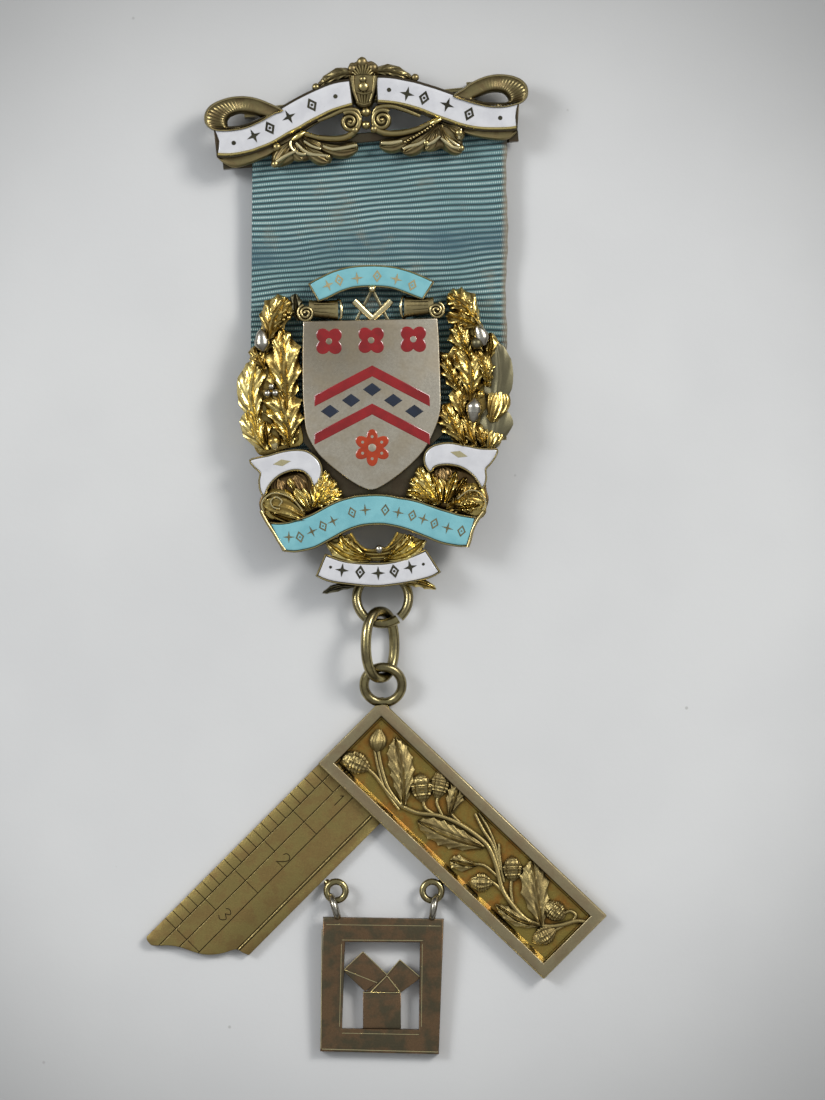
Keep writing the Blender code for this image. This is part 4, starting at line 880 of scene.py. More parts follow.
def add_clasp(gilt):
    """The bud that clasps the middle of the bar, with the palmette above."""
    unit = BAR.square
    gilt.add(pillow(BAR.line(CLASP, 3, closed=True), METAL_BACK + 0.15, BAR_FACE - 0.5,
                    BAR_FACE + 0.2, 4 * unit), "curl_gilt")
    for path in CLASP_SIDES:
        line = BAR.line(path, 6)
        gilt.wire(line, BAR_FACE + 0.12, np.linspace(0.26, 0.16, len(line)), "curl_gilt", 10)
    gilt.bead(BAR.at(*CLASP_BEAD), BAR_FACE + 0.15, 5.5 * unit, tall=0.5)
    gilt.bead(BAR.at(*CLASP_BUD), BAR_FACE + 0.2, 3.6 * unit, "curl_gilt", 0.6)
    for x in CLASP_FOLDS:
        off = x - CLASP_MIDDLE
        path = [(x, 93), (CLASP_MIDDLE + off * 0.8, 99), (CLASP_MIDDLE + off * 0.5, 105)]
        gilt.wire(BAR.line(path, 5), BAR_FACE + 0.25, 0.17, "curl_gilt")
    for y in CLASP_BANDS:
        path = [(356.5, y - 1), (CLASP_MIDDLE, y + 1.2), (371, y - 1)]
        gilt.wire(BAR.line(path, 5), BAR_FACE + 0.34, 0.16, "curl_gilt")
    gilt.add(plate(BAR.line(PALMETTE, 4, closed=True), METAL_BACK + 0.25, BAR_FACE - 0.5,
                   bevel=0.3, steps=4), "curl_gilt")
    for x, y, size in PALMETTE_BEADS:
        gilt.bead(BAR.at(x, y), BAR_FACE - 0.4, size * unit, "curl_gilt", 0.6)
    start = BAR.at(*PALMETTE_FOOT)
    for angle in np.linspace(-66, 66, 11):
        turn = radians(92 + angle)
        reach = (18 - abs(angle) * 0.07) * unit
        line = [(start[0] + reach * k * cos(turn), start[1] + reach * k * sin(turn))
                for k in (0.25, 0.6, 0.95)]
        gilt.wire(line, BAR_FACE + np.array((-0.1, -0.12, -0.35)), (0.12, 0.17, 0.14), "curl_gilt")


# Each petal of the bar: its path from base to tip, its width and how far its top stands out
BAR_PETALS = [
    ([(300, 138), (288, 147), (280, 157), (275, 167)], 15, 0.2),
    ([(299, 139), (295, 147), (297, 154), (303, 161)], 13, 0.0),
    ([(301, 139), (307, 150), (317, 157), (329, 163)], 15, 0.25),
    ([(304, 138), (322, 147), (340, 152), (358, 150)], 15, 0.15),
    ([(303, 137), (311, 143), (322, 149)], 11, 0.35),
    ([(438, 125), (427, 137), (416, 147), (403, 154)], 16, 0.25),
    ([(438, 126), (434, 137), (430, 146), (425, 151)], 13, 0.05),
    ([(440, 126), (445, 138), (452, 147), (462, 153)], 15, 0.25),
    ([(442, 125), (451, 128), (458, 133), (460, 142)], 12, 0.1),
    ([(425, 131), (407, 141), (393, 147), (379, 147)], 14, 0.15),
]
# The bodies that the petals of each side lie on
BAR_BODIES = [
    [(277, 147), (286, 142), (296, 137), (306, 137), (320, 142), (338, 143), (352, 142), (358, 146),
     (357, 153), (347, 156), (334, 157), (330, 164), (322, 163), (312, 160), (304, 162), (297, 160),
     (289, 165), (279, 168), (273, 166), (275, 158), (272, 151)],
    [(380, 142), (390, 139), (402, 140), (412, 136), (422, 130), (432, 124), (442, 123), (453, 126),
     (461, 131), (462, 141), (463, 151), (455, 155), (447, 153), (441, 149), (434, 152), (426, 152),
     (418, 153), (409, 157), (402, 153), (392, 152), (382, 151)],
]
# The bright folds on the petals: path and radius in millimetres
BAR_FOLDS = [
    ([(275, 164), (282, 159), (289, 155), (296, 152)], 0.2),
    ([(296, 153), (301, 155), (306, 155)], 0.17),
    ([(296, 144), (303, 151), (311, 155), (320, 156), (328, 157)], 0.2),
    ([(304, 142), (312, 147), (321, 150)], 0.17),
    ([(323, 147), (332, 150), (343, 149), (352, 147), (357, 146)], 0.22),
    ([(291, 142), (291, 148), (295, 153)], 0.15),
    ([(381, 144), (391, 144), (402, 142)], 0.24),
    ([(403, 150), (410, 147), (418, 145), (425, 141)], 0.22),
    ([(427, 146), (434, 142), (440, 137)], 0.18),
    ([(441, 139), (447, 144), (453, 148), (461, 149)], 0.2),
    ([(449, 140), (454, 144), (459, 147)], 0.17),
    ([(461, 130), (459, 135), (459, 140)], 0.18),
]
# The leaf sprays that run down from the palmette along the top
BAR_SPRAYS = [
    ([(356, 75), (342, 75), (328, 81), (317, 88)], 15, 0.05),
    ([(371, 73), (388, 72), (402, 76), (414, 80)], 15, 0.05),
]
SPRAY_BEADS = [(316, 88, 4), (415, 78.5, 4)]
# The open scrolls under the bar: path and radius in millimetres
BAR_SCROLLS = [
    ([(300, 133), (318, 138.5), (338, 139.5), (350, 136), (358, 128), (360, 119)], 0.42),
    ([(373, 118), (374, 127), (379, 132), (390, 134.5), (404, 133.5), (418, 130), (432, 123),
      (440, 118)], 0.42),
    ([(318, 122), (330, 117), (344, 111), (356, 111), (361, 118)], 0.32),
    ([(372, 118), (377, 109), (390, 107), (405, 111), (420, 117)], 0.32),
]
ROPE = [(433, 126), (424, 132), (414, 138), (405, 143)]
# The knots of leaves: ends and radius in squares
KNOTS = [([(292, 141), (305, 133)], 3.2), ([(430, 125), (441, 120)], 2.7)]
# The volutes: place, start in radians and the way that they turn
VOLUTES = [((350, 123), 2.2, -1), ((382, 121), 0.9, 1)]
# The beads of the bar: place and radius in squares
BAR_BEADS = [(366, 113, 5), (355, 131, 4), (374, 130, 4), (366, 126, 4.5), (277, 148, 4.5),
             (275, 165, 4), (459, 134, 4.5), (461, 149, 3.5), (426, 144, 3.5), (328, 158, 3)]


def swelling(line, radius, least, start):
    """Radii along a line that swell from both ends to its middle."""
    return radius * (least + (1 - least) * np.sin(np.linspace(start, pi - start, len(line))))


def add_bar_foliage(gilt):
    """The leaf sprays beside the palmette, and the acanthus under the bar."""
    unit = BAR.square
    ground = METAL_BACK + 0.5
    for outline in BAR_BODIES:
        gilt.add(pillow(BAR.line(outline, 3, closed=True), ground - 0.3, BAR_FACE - 0.75,
                        BAR_FACE - 0.35, 4 * unit), "curl_gilt")
    for path, width, rise in BAR_PETALS:
        gilt.add(petal(BAR.all(path), width * unit, ground + 0.15, BAR_FACE - 0.15 + rise,
                       depth=0.45), "curl_gilt")
    for path, wide in BAR_FOLDS:
        line = BAR.line(path, 8)
        gilt.wire(line, BAR_FACE, swelling(line, 1.4 * wide, 0.55, 0.3), "pale_gilt", 10)
    for path, width, rise in BAR_SPRAYS:
        gilt.add(leaf(BAR.all(path), width * unit, ground + 0.15, BAR_FACE + rise, lobes=4,
                      cut=0.1, rib=0.1, ridge=0.07, fullest=0.7, depth=0.45), "curl_gilt")
    for x, y, size in SPRAY_BEADS:
        gilt.bead(BAR.at(x, y), BAR_FACE - 0.35, size * unit, "curl_gilt", 0.8)
    add_volutes(gilt)
    for path, wide in BAR_SCROLLS:
        line = BAR.line(path, 8)
        gilt.wire(line, BAR_FACE - 0.25, swelling(line, wide, 0.6, 0.2), sides=12)
    for spot in spaced(BAR.all(ROPE), 11):
        gilt.add(ball((*spot, BAR_FACE + 0.2), 0.19, sides=10, rows=8), "rim_gilt")
    for x, y, size in BAR_BEADS:
        gilt.bead(BAR.at(x, y), BAR_FACE - 0.1, size * unit, tall=0.8)
    for ends, size in KNOTS:
        knot = spaced(BAR.all(ends), 9)
        gilt.wire(knot, BAR_FACE, swelling(knot, size * unit, 0.0, 0.4), "sun_gilt", 12)


def add_volutes(gilt):
    """The two volutes under the clasp."""
    unit = BAR.square
    count = 80
    for place, start, way in VOLUTES:
        centre = BAR.at(*place)
        route = spiral(centre, start, start + way * 3.6 * pi, 10.5 * unit, 2 * unit, count)
        gilt.wire(route, BAR_FACE + np.linspace(-0.25, 0.1, count), np.linspace(0.34, 0.2, count),
                  sides=12)
        gilt.bead(centre, BAR_FACE + 0.1, 2.4 * unit)
        gilt.add(plate(disc(centre, 9.5 * unit), METAL_BACK + 0.18, BAR_FACE - 0.75, bevel=0.2),
                 "curl_gilt")


# The loop behind the bar, in millimetres along its tilted line and up from it
BAR_MIDDLE = (367, 150)
BAR_TILT = radians(5.5)
LOOP_LEFT = -18.1
LOOP_RIGHT = 18.95
RIBBON_SHIFT = 1.6
STRIP_WIDTH = 2.0
STRIP_DROP = 0.76
STRIP_BOTTOM = 1.25
STRIP_TOP = 1.65
PLATE_SPAN = (0.9, 2.1)
POST_PLACE = 14
POST_HALF = 0.85
POST_SPAN = (5.45, 7.15)
LEFT_LEG = 1.95
RIGHT_LEG = 1.2


def bar_point(along, up):
    x, y = BAR.at(*BAR_MIDDLE)
    return (x + along * cos(BAR_TILT) - up * sin(BAR_TILT),
            y + along * sin(BAR_TILT) + up * cos(BAR_TILT))


def bar_rectangle(left, right, low, high):
    return [bar_point(*place) for place in rectangle(left, right, low, high)]


def add_bar_back(gilt):
    """What is behind: the back plate, the loop that the ribbon goes round, and the pin's posts."""
    low = -STRIP_DROP
    high = STRIP_WIDTH - STRIP_DROP
    back_plate = bar_rectangle(LOOP_LEFT, -LOOP_LEFT, *PLATE_SPAN)
    gilt.add(plate(back_plate, METAL_BACK, METAL_BACK + 0.5, bevel=0.12, foot=0.1), "edge_gilt")
    strip = bar_rectangle(LOOP_LEFT + 0.1, LOOP_RIGHT - 0.1, low + 0.02, high - 0.02)
    gilt.add(plate(strip, STRIP_BOTTOM + 0.02, STRIP_TOP, bevel=0.1, foot=0.1), "edge_gilt")
    for start, stop in ((LOOP_LEFT, LOOP_LEFT + LEFT_LEG), (LOOP_RIGHT - RIGHT_LEG, LOOP_RIGHT)):
        gilt.add(plate(bar_rectangle(start, stop, low, high), STRIP_BOTTOM, METAL_BACK + 0.4),
                 "edge_gilt")
    for post in (-POST_PLACE, POST_PLACE):
        base = bar_rectangle(post - POST_HALF, post + POST_HALF, *POST_SPAN)
        gilt.add(plate(base, 0.1, METAL_BACK + 0.6, foot=0.15), "curl_gilt")


def make_pin():
    """The plain pin behind the bar, pointed at its ends."""
    low, high = (np.array(corner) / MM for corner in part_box("brooch_pin"))
    middle = (low[2] + high[2]) / 2
    radius = (high[2] - low[2]) / 2
    start = np.array((low[0] + 0.05, low[1] + radius, middle))
    stop = np.array((high[0] - 0.05, high[1] - radius, middle))
    width = np.full(12, radius * 0.98)
    width[0] = radius * 0.6
    width[-1] = radius * 0.5
    pin = Piece("brooch_pin", "ring_gilt")
    pin.add(tube(np.linspace(start, stop, len(width)), width, 14))
    pin.finish("dark_gilt")


# Ribbon

RIBBON_FOOT_WIDTH = 29.0
RIBBON_TAIL = 10.0
FOLD_RADIUS = 0.85
STRIP_MIDDLE = (STRIP_BOTTOM + STRIP_TOP) / 2
CLOTH = 0.55
RIBBON_FOOT_TILT = radians(0.5)
FOOT_LOOP = (379, 432)


def ribbon_line(head, foot):
    """The cloth's middle from its upper tail to its lower tail, as runs down the jewel and
    heights, at an even spacing."""
    length = head[1] - foot[1]
    upper = STRIP_DROP - STRIP_WIDTH
    lower = length + STRIP_WIDTH / 2
    tail = STRIP_MIDDLE - FOLD_RADIUS
    front = STRIP_MIDDLE + FOLD_RADIUS
    fold = np.linspace(0, pi, 24)
    rungs = [(upper + RIBBON_TAIL, tail)]
    rungs += [(upper - FOLD_RADIUS * sin(t), STRIP_MIDDLE - FOLD_RADIUS * cos(t)) for t in fold]
    for share in np.linspace(0.01, 0.99, 60):
        sag = 0.45 * sin(pi * share) ** 2 - 0.1 * sin(7 * pi * share) * sin(pi * share)
        rungs.append((upper + (lower - upper) * share, front - sag))
    rungs += [(lower + FOLD_RADIUS * sin(t), STRIP_MIDDLE + FOLD_RADIUS * cos(t)) for t in fold]
    rungs.append((lower - RIBBON_TAIL, tail))
    rungs = np.array(rungs)
    total = np.linalg.norm(np.diff(rungs, axis=0), axis=1).sum()
    return spaced(rungs, int(total / RIB_PITCH * 8)), total


def make_ribbon():
    """A ribbed strip folded round both loops: each rib is modelled, the threads are material."""
    head = bar_point(RIBBON_SHIFT, 0)
    foot = EMBLEM.at(*FOOT_LOOP)
    line, total = ribbon_line(head, foot)
    along = np.linspace(0, total, len(line))
    edge = [0.98, 0.992, 1]
    columns = [*(-place for place in edge[::-1]), *np.linspace(-0.965, 0.965, 47), *edge]
    front = [ribbon_column(head, foot, line, along, column, 1) for column in columns]
    back = [ribbon_column(head, foot, line, along, column, -1) for column in columns]
    cloth = Piece("ribbon", "ribbon_cloth")
    cloth.add(skin(np.stack(front + back[::-1], 1)))
    made = cloth.finish("ribbon", sharp=60)
    across = np.array(columns + columns[::-1]) * RIBBON_WIDTH / 2
    weave = np.stack((np.tile(across, len(line)), np.repeat(along, len(across))), 1)
    corners = np.empty(len(made.data.loops), np.int32)
    made.data.loops.foreach_get("vertex_index", corners)
    made.data.uv_layers.new(name="weave").data.foreach_set("uv", weave[corners].ravel())


def ribbon_column(head, foot, line, along, column, side):
    """The points of the front (side 1) or the back (-1), a share of half the width across."""
    length = head[1] - foot[1]
    ahead = np.gradient(line, axis=0)
    ahead /= np.linalg.norm(ahead, axis=1, keepdims=True)
    outward = np.stack((-ahead[:, 1], ahead[:, 0]), 1)
    share = np.clip(line[:, 0] / length, 0, 1)
    narrow = np.clip((share - 0.7) / 0.3, 0, 1) ** 0.8
    half = (RIBBON_WIDTH + (RIBBON_FOOT_WIDTH - RIBBON_WIDTH) * narrow) / 2
    tilt = BAR_TILT + (RIBBON_FOOT_TILT - BAR_TILT) * share
    ribs = np.abs(np.sin(pi * along / RIB_PITCH)) ** 0.8
    selvedge = max(0, (abs(column) - 0.96) / 0.04)
    wobble = 0.12 * np.sin(along / 2.3 + 3 * column) + 0.05 * np.sin(along * 2.1)
    reach = half * column + wobble * selvedge * (column > 0)
    rib = (0.16 if side == 1 else 0.05) * ribs * (1 - 0.75 * selvedge)
    wave = 0.14 * np.sin(column * 4 + along / 5.0) * np.sin(pi * share)
    out = (CLOTH / 2 - 0.11) * (1 - 0.35 * selvedge) * side + side * rib
    run = line[:, 0] - outward[:, 0] * out
    height = line[:, 1] - outward[:, 1] * out + wave
    ripple = 0.2 * np.sin(column * 4.3 + along / 3.1) + 0.07 * np.sin(column * 11 - along / 2)
    beyond = share * length - run + ripple * np.sin(pi * share)
    middle_x = head[0] + (foot[0] - head[0]) * share
    middle_y = head[1] + (foot[1] - head[1]) * share
    return np.stack((
        middle_x + reach * np.cos(tilt) - beyond * np.sin(tilt),
        middle_y + reach * np.sin(tilt) + beyond * np.cos(tilt),
        height,
    ), 1)


# Emblem

RING_WIRE = 1.2
# The staple that holds the ring
STAPLE_WIRE = 0.8
STAPLE_HALF = 1.1
STAPLE_MIDDLE = 1.6
STAPLE_DEPTH = 1.0

NUMBER_TOP = [(311, 285), (320, 280), (335, 273), (350, 269), (365, 267.5), (380, 267.5),
              (395, 269), (410, 273), (425, 279), (433, 283)]
NUMBER_FOOT = [(423, 299), (415, 296), (405, 292), (393, 288), (380, 286.5), (365, 286.5),
               (352, 288), (340, 292), (330, 297), (320, 301)]
MOTTO_TOP = [(272, 524), (280, 524.5), (290, 523.5), (300, 520.5), (310, 517), (320, 512),
             (330, 506.5), (340, 502), (350, 499), (360, 497), (377, 496), (390, 497), (400, 499),
             (410, 500.5), (420, 503), (430, 506.5), (440, 510), (450, 513), (460, 516),
             (475, 518.5)]
MOTTO_FOOT = [(467, 545), (460, 545), (450, 543.5), (440, 541), (430, 537), (420, 533), (410, 529),
              (400, 526), (390, 524), (380, 523), (365, 524), (355, 526.5), (345, 530.5),
              (335, 536), (325, 541.5), (315, 546.5), (305, 549), (295, 550.5), (285, 549.5)]
LOWER_TOP = [(327, 556), (335, 559), (345, 562), (360, 564), (380, 564.5), (390, 563.5),
             (400, 561.5), (412, 557.5), (426, 551.5)]
LOWER_FOOT = [(439, 571.5), (432, 575.5), (420, 579), (405, 582), (390, 584), (380, 585),
              (365, 584.5), (350, 583), (335, 581), (325, 578), (319, 575)]
LEFT_CURL_WHITE = [(252, 461), (260, 458.5), (270, 456.5), (280, 453.5), (290, 451.5), (300, 451),
                   (308, 452.5), (315, 457), (320, 463), (322, 470), (321, 477), (318, 483),
                   (315, 485), (312, 478), (307, 472.5), (302, 470), (295, 469.5), (287, 471.5),
                   (280, 475), (273, 481), (268, 488), (265, 495), (262, 490), (261, 481),
                   (262, 473), (256, 467)]
RIGHT_CURL_WHITE = [(497, 450.5), (490, 450), (480, 449.5), (470, 447.5), (460, 445.5), (450, 444),
                    (440, 445), (432, 448), (427, 453), (425.5, 460), (427, 466), (431, 471),
                    (434, 467), (440, 464.5), (450, 464), (460, 466), (468, 470), (475, 476),
                    (480, 483), (482.5, 487), (485, 483), (486, 477), (485.5, 469), (490, 464),
                    (495, 457)]
# The curled ends: the node's name, the outline, and the place and angle of its diamond
CURLS = [
    ("curl_enamel_left", LEFT_CURL_WHITE, (283, 463), 0.18),
    ("curl_enamel_right", RIGHT_CURL_WHITE, (459.5, 454.5), -0.25),
]
SHIELD = [(304, 322), (326, 321.5), (371, 320.5), (416, 319.5), (438, 319), (439, 330), (440, 350),
          (441, 380), (441.5, 400), (441, 410), (439, 420), (434, 433), (428, 445), (420, 456),
          (410, 466), (398, 476), (385, 485), (373, 490), (362, 487), (350, 480), (338, 471),
          (326, 461), (317, 451), (309, 437), (306, 425), (305, 412), (304, 400), (303.5, 380),
          (303.5, 350)]

# Each leaf: its path from base to tip, width, lobes, cut, foot and top above the ground, its cant
# and its metal
LEFT_LEAVES = [
    ([(300, 322), (297, 308), (296, 294)], 15, 3, 0.2, 0.0, 0.9, 0.1, "dull_gilt"),
    ([(270, 340), (274, 320), (288, 298)], 33, 4, 0.2, 0.3, 1.7, -0.1, "wreath_gilt"),
    ([(266, 372), (260, 358), (256, 346)], 20, 3, 0.2, 0.2, 1.5, 0.1, "wreath_gilt"),
    ([(288, 412), (285, 372), (283, 329)], 42, 4, 0.25, 0.35, 1.8, -0.03, "wreath_gilt"),
    ([(258, 428), (252, 392), (259, 358)], 30, 4, 0.1, 0.3, 1.6, 0.08, "sun_gilt"),
    ([(290, 448), (287, 420), (277, 386)], 43, 5, 0.25, 0.45, 1.9, -0.03, "wreath_gilt"),
    ([(268, 452), (257, 434), (248, 411)], 25, 3, 0.08, 0.4, 1.8, 0.08, "sun_gilt"),
    ([(269, 446), (267, 434), (266, 421)], 14, 3, 0.2, 0.6, 1.5, 0.0, "wreath_gilt"),
]
RIGHT_LEAVES = [
    ([(478, 324), (466, 306), (448, 295)], 30, 4, 0.22, 0.3, 1.7, 0.06, "wreath_gilt"),
    ([(484, 330), (466, 321), (446, 316)], 20, 4, 0.2, 0.6, 1.7, 0.06, "wreath_gilt"),
    ([(472, 362), (464, 344), (456, 324)], 28, 4, 0.25, 0.4, 1.7, 0.05, "wreath_gilt"),
    ([(487, 364), (491, 348), (491, 333)], 17, 3, 0.2, 0.2, 1.2, -0.1, "wreath_gilt"),
    ([(491, 421), (499, 380), (496, 341)], 30, 4, 0.06, 0.25, 1.2, -0.08, "dull_gilt"),
    ([(491, 423), (497, 407), (500, 390)], 25, 0, 0.0, 0.5, 1.5, -0.05, "wreath_gilt"),
    ([(471, 402), (471, 372), (463, 345)], 36, 4, 0.25, 0.45, 1.8, 0.03, "wreath_gilt"),
    ([(489, 388), (485, 366), (476, 350)], 22, 4, 0.28, 0.55, 1.7, -0.05, "wreath_gilt"),
    ([(466, 400), (453, 376), (441, 352)], 20, 4, 0.2, 0.2, 1.4, 0.1, "wreath_gilt"),
    ([(464, 418), (461, 402), (469, 385)], 24, 3, 0.12, 0.5, 1.6, 0.0, "wreath_gilt"),
    ([(466, 446), (456, 428), (444, 404)], 30, 4, 0.22, 0.3, 1.7, 0.05, "wreath_gilt"),
    ([(476, 447), (470, 430), (466, 412)], 18, 3, 0.2, 0.6, 1.6, 0.0, "wreath_gilt"),
    ([(490, 449), (495, 430), (499, 409)], 34, 3, 0.06, 0.2, 1.2, -0.05, "dull_gilt"),
    ([(489, 449), (492, 440), (496, 430)], 22, 0, 0.0, 0.5, 1.4, -0.05, "wreath_gilt"),
    ([(484, 448), (482, 438), (477, 425)], 18, 3, 0.25, 0.5, 1.5, 0.0, "wreath_gilt"),
]
# Berries and silvery buds: place, radius in squares and material
BERRIES = [(268.5, 394, 4, "bright_silver"), (276.5, 393.5, 4, "bright_silver"),
           (272.5, 387, 3.4, "bright_silver"), (286, 316, 2.4, "wreath_gilt"),
           (290, 313.5, 2.2, "wreath_gilt"), (290, 318.5, 2.4, "wreath_gilt"),
           (285, 320.5, 2.0, "wreath_gilt"), (477, 344, 6, "dull_gilt"),
           (446, 357, 3.6, "wreath_gilt"), (481, 395, 4, "wreath_gilt")]
# Acorns: the cup's base, the tip, the width and the nut's material
ACORNS = [
    ((264, 352), (262, 329), 15, "bright_silver"),
    ((273, 436), (277, 451), 12, "pale_gilt"),
    ((485, 346), (477, 323), 14, "bright_silver"),
    ((475, 399), (473, 425), 16, "bright_silver"),
]
# The leaves below the curls, and those of the laurel under the motto scroll
FOOT_LEAVES = [
    ([(306, 518), (288, 508), (263, 503)], 34, 0, 0.0, 0.1, 1.1, 0.0, "wreath_gilt"),
    ([(306, 520), (290, 520), (270, 512)], 14, 2, 0.2, 0.3, 1.3, -0.1, "wreath_gilt"),
    ([(311, 511), (304, 500), (295, 488)], 11, 0, 0.0, 0.4, 1.5, 0.1, "sun_gilt"),
    ([(296, 491), (293, 485), (289, 479)], 8, 0, 0.0, 0.2, 1.2, 0.0, "sun_gilt"),
    ([(313, 510), (309, 499), (304, 488)], 8, 0, 0.0, 0.3, 1.3, -0.1, "sun_gilt"),
    # The brown gilt leaves lie low in the hollows under the curls: their colour is painted shade.
    ([(306, 496), (302, 486), (296, 475)], 20, 0, 0.0, 0.0, 0.6, 0.0, "brown_gilt"),
    ([(287, 497), (282, 488), (280, 479)], 16, 0, 0.0, 0.0, 0.6, 0.0, "brown_gilt"),
    ([(315, 508), (320, 492), (327, 471)], 22, 5, 0.15, 0.3, 1.6, -0.1, "sun_gilt"),
    ([(318, 507), (327, 493), (336, 480)], 20, 5, 0.15, 0.4, 1.6, 0.0, "sun_gilt"),
    ([(319, 506), (330, 499), (343, 491)], 18, 5, 0.15, 0.2, 1.3, 0.1, "sun_gilt"),
    ([(447, 509), (463, 503), (487, 501)], 36, 0, 0.0, 0.1, 1.0, 0.0, "wreath_gilt"),
    ([(450, 506), (464, 498), (481, 491)], 22, 6, 0.12, 0.4, 1.3, -0.1, "wreath_gilt"),
    ([(452, 508), (466, 507), (481, 505)], 14, 5, 0.12, 0.3, 1.3, -0.1, "wreath_gilt"),
    ([(446, 504), (451, 488), (457, 471)], 13, 4, 0.15, 0.4, 1.6, -0.1, "sun_gilt"),
    ([(453, 500), (460, 489), (467, 477)], 11, 3, 0.15, 0.2, 1.2, 0.0, "wreath_gilt"),
    ([(444, 486), (444, 477), (442, 468)], 20, 0, 0.0, 0.0, 0.6, 0.0, "brown_gilt"),
    ([(441, 500), (440, 490), (438, 479)], 19, 0, 0.0, 0.1, 1.1, 0.0, "wreath_gilt"),
    ([(442, 505), (437, 488), (430, 472)], 13, 4, 0.15, 0.3, 1.5, 0.1, "sun_gilt"),
    ([(439, 505), (430, 488), (419, 467)], 22, 5, 0.15, 0.4, 1.6, 0.1, "sun_gilt"),
    ([(435, 504), (424, 491), (412, 478)], 20, 5, 0.15, 0.3, 1.5, 0.0, "sun_gilt"),
    ([(432, 503), (420, 496), (407, 491)], 17, 4, 0.15, 0.2, 1.3, -0.1, "sun_gilt"),
    ([(372, 560), (348, 556), (327, 541)], 17, 4, 0.15, 0.2, 1.1, 0.1, "sun_gilt"),
    ([(366, 556), (348, 545), (341, 534)], 14, 4, 0.15, 0.3, 1.2, -0.1, "sun_gilt"),
    ([(384, 560), (408, 554), (426, 540)], 17, 4, 0.15, 0.2, 1.1, -0.1, "sun_gilt"),
    ([(390, 556), (406, 545), (411, 534)], 14, 4, 0.15, 0.3, 1.2, 0.1, "sun_gilt"),
    ([(356, 586), (340, 587), (323, 593)], 9, 3, 0.2, 0.0, 1.0, 0.1, "dull_gilt"),
    ([(404, 583), (422, 583), (437, 589)], 11, 3, 0.25, 0.0, 1.0, 0.1, "sun_gilt"),
]
PEARL = (380, 549)
TOP_PEARL = (373, 289.5)
LEFT_WREATH = [(297, 300), (280, 304), (268, 313), (260, 335), (254, 355), (249, 372), (247, 392),
               (250, 414), (253, 440), (262, 456), (285, 450), (304, 443), (300, 420), (293, 398),
               (298, 375), (297, 358), (288, 340), (286, 326), (295, 314)]
RIGHT_WREATH = [(449, 298), (462, 299), (475, 312), (485, 330), (490, 346), (503, 358), (507, 376),
                (501, 402), (503, 424), (500, 446), (480, 450), (455, 443), (448, 425), (456, 410),
                (460, 392), (448, 372), (447, 358), (457, 338), (453, 314)]
LEFT_FOOT = [(262, 478), (264, 492), (260, 504), (266, 520), (280, 527), (310, 519), (340, 504),
             (340, 490), (330, 474), (318, 468), (300, 466), (275, 472)]
RIGHT_FOOT = [(485, 476), (487, 490), (489, 502), (478, 518), (445, 514), (412, 503), (412, 488),
              (424, 470), (440, 463), (460, 463), (476, 468)]
CRESCENT_OUTER = [(325, 542), (335, 554), (355, 560), (380, 561), (402, 557.5), (418, 550.5),
                  (428, 541)]
NUMBER_MARKS = [(329, 286), (340, 281), (358, 279), (378, 277), (397, 280), (413, 286)]
MOTTO_MARKS = [(290, 537), (301, 537), (313, 531.5), (324, 526), (334, 521), (353, 512.5),
               (366, 510), (386, 510), (399, 512.5), (413, 515.5), (424, 519), (435, 523.5),
               (448, 528), (462, 531)]
CURLED_RIMS = [
    [(265, 513), (263, 504), (267, 497), (275, 493), (286, 495), (296, 501), (304, 511)],
    [(281, 509), (274, 507), (272, 501), (277, 497), (283, 501), (280, 506)],
    [(483, 510), (486, 503), (483, 496), (477, 491), (468, 491), (458, 499)],
]
CRESCENT_RIDGES = [
    [(334, 543), (343, 551), (358, 556.5), (380, 557.5), (400, 554), (414, 547), (420, 540)],
    [(340, 539), (348, 547), (362, 552.5), (379, 554), (395, 551), (408, 544), (414, 536)],
    [(347, 536), (354, 543.5), (365, 549.5), (379, 551.5), (391, 548), (401, 540), (406, 534)],
]
MOTTO_LEFT_RIM = [(262, 511), (268, 522), (275, 533), (281, 543), (286, 550)]
MOTTO_RIGHT_RIM = [(484, 512), (478, 520), (473, 530), (470.5, 540), (468, 547)]
LOWER_MARKS = [(343, 570), (361, 572), (379, 573), (395, 571), (411, 567)]
LOWER_DOTS = [(331.5, 567), (424, 564)]
CRESCENT_INNER = [(398, 532), (393, 541), (386, 548), (372, 550), (363, 547), (357, 541),
                  (352, 533)]


def make_scroll(gilt, name, outline, face, kind, rim, marks, size, stroke, mark_kind):
    """A cell with a thin gilt rim, its enamel and the marks on it. The enamel isn't finished."""
    unit = EMBLEM.square
    gilt.add(plate(inset(outline, -rim * unit), METAL_BACK + 0.05, face - 0.12, bevel=0.12),
             "dull_gilt")
    gilt.wire(inset(outline, -0.5 * rim * unit), face - 0.06, 0.1, "rim_gilt", closed=True)
    fill = Piece(name, kind, mark_kind)
    fill.add(pillow(inset(outline, 0.04), face - 0.5, face - 0.02, face + 0.05, 0.2))
    marks_along(fill, EMBLEM, marks, size * unit, stroke * unit, face + 0.05, mark_kind)
    return fill


def scroll_outline(top, foot):
    return np.vstack((EMBLEM.line(top, 3), EMBLEM.line(foot, 3)))


# How the leaves of each sort are shaped
LEAF_SORTS = {
    "oak": {"rib": 0.16, "ridge": 0.12, "flutes": 3, "flute": 0.04, "edge": 0.35, "stalk": 0.5},
    "small": {"rib": 0.3, "ridge": 0.06, "edge": 0.4, "stalk": 0.45, "slant": 0.8},
    "fluted": {"rib": 0.0, "ridge": 0.0, "flutes": 5, "flute": 0.13, "flute_end": 1.6,
               "edge": 0.5, "stalk": 0.6},
    "broad": {"rib": 0.05, "ridge": 0.02, "edge": 0.7, "stalk": 0.5},
}


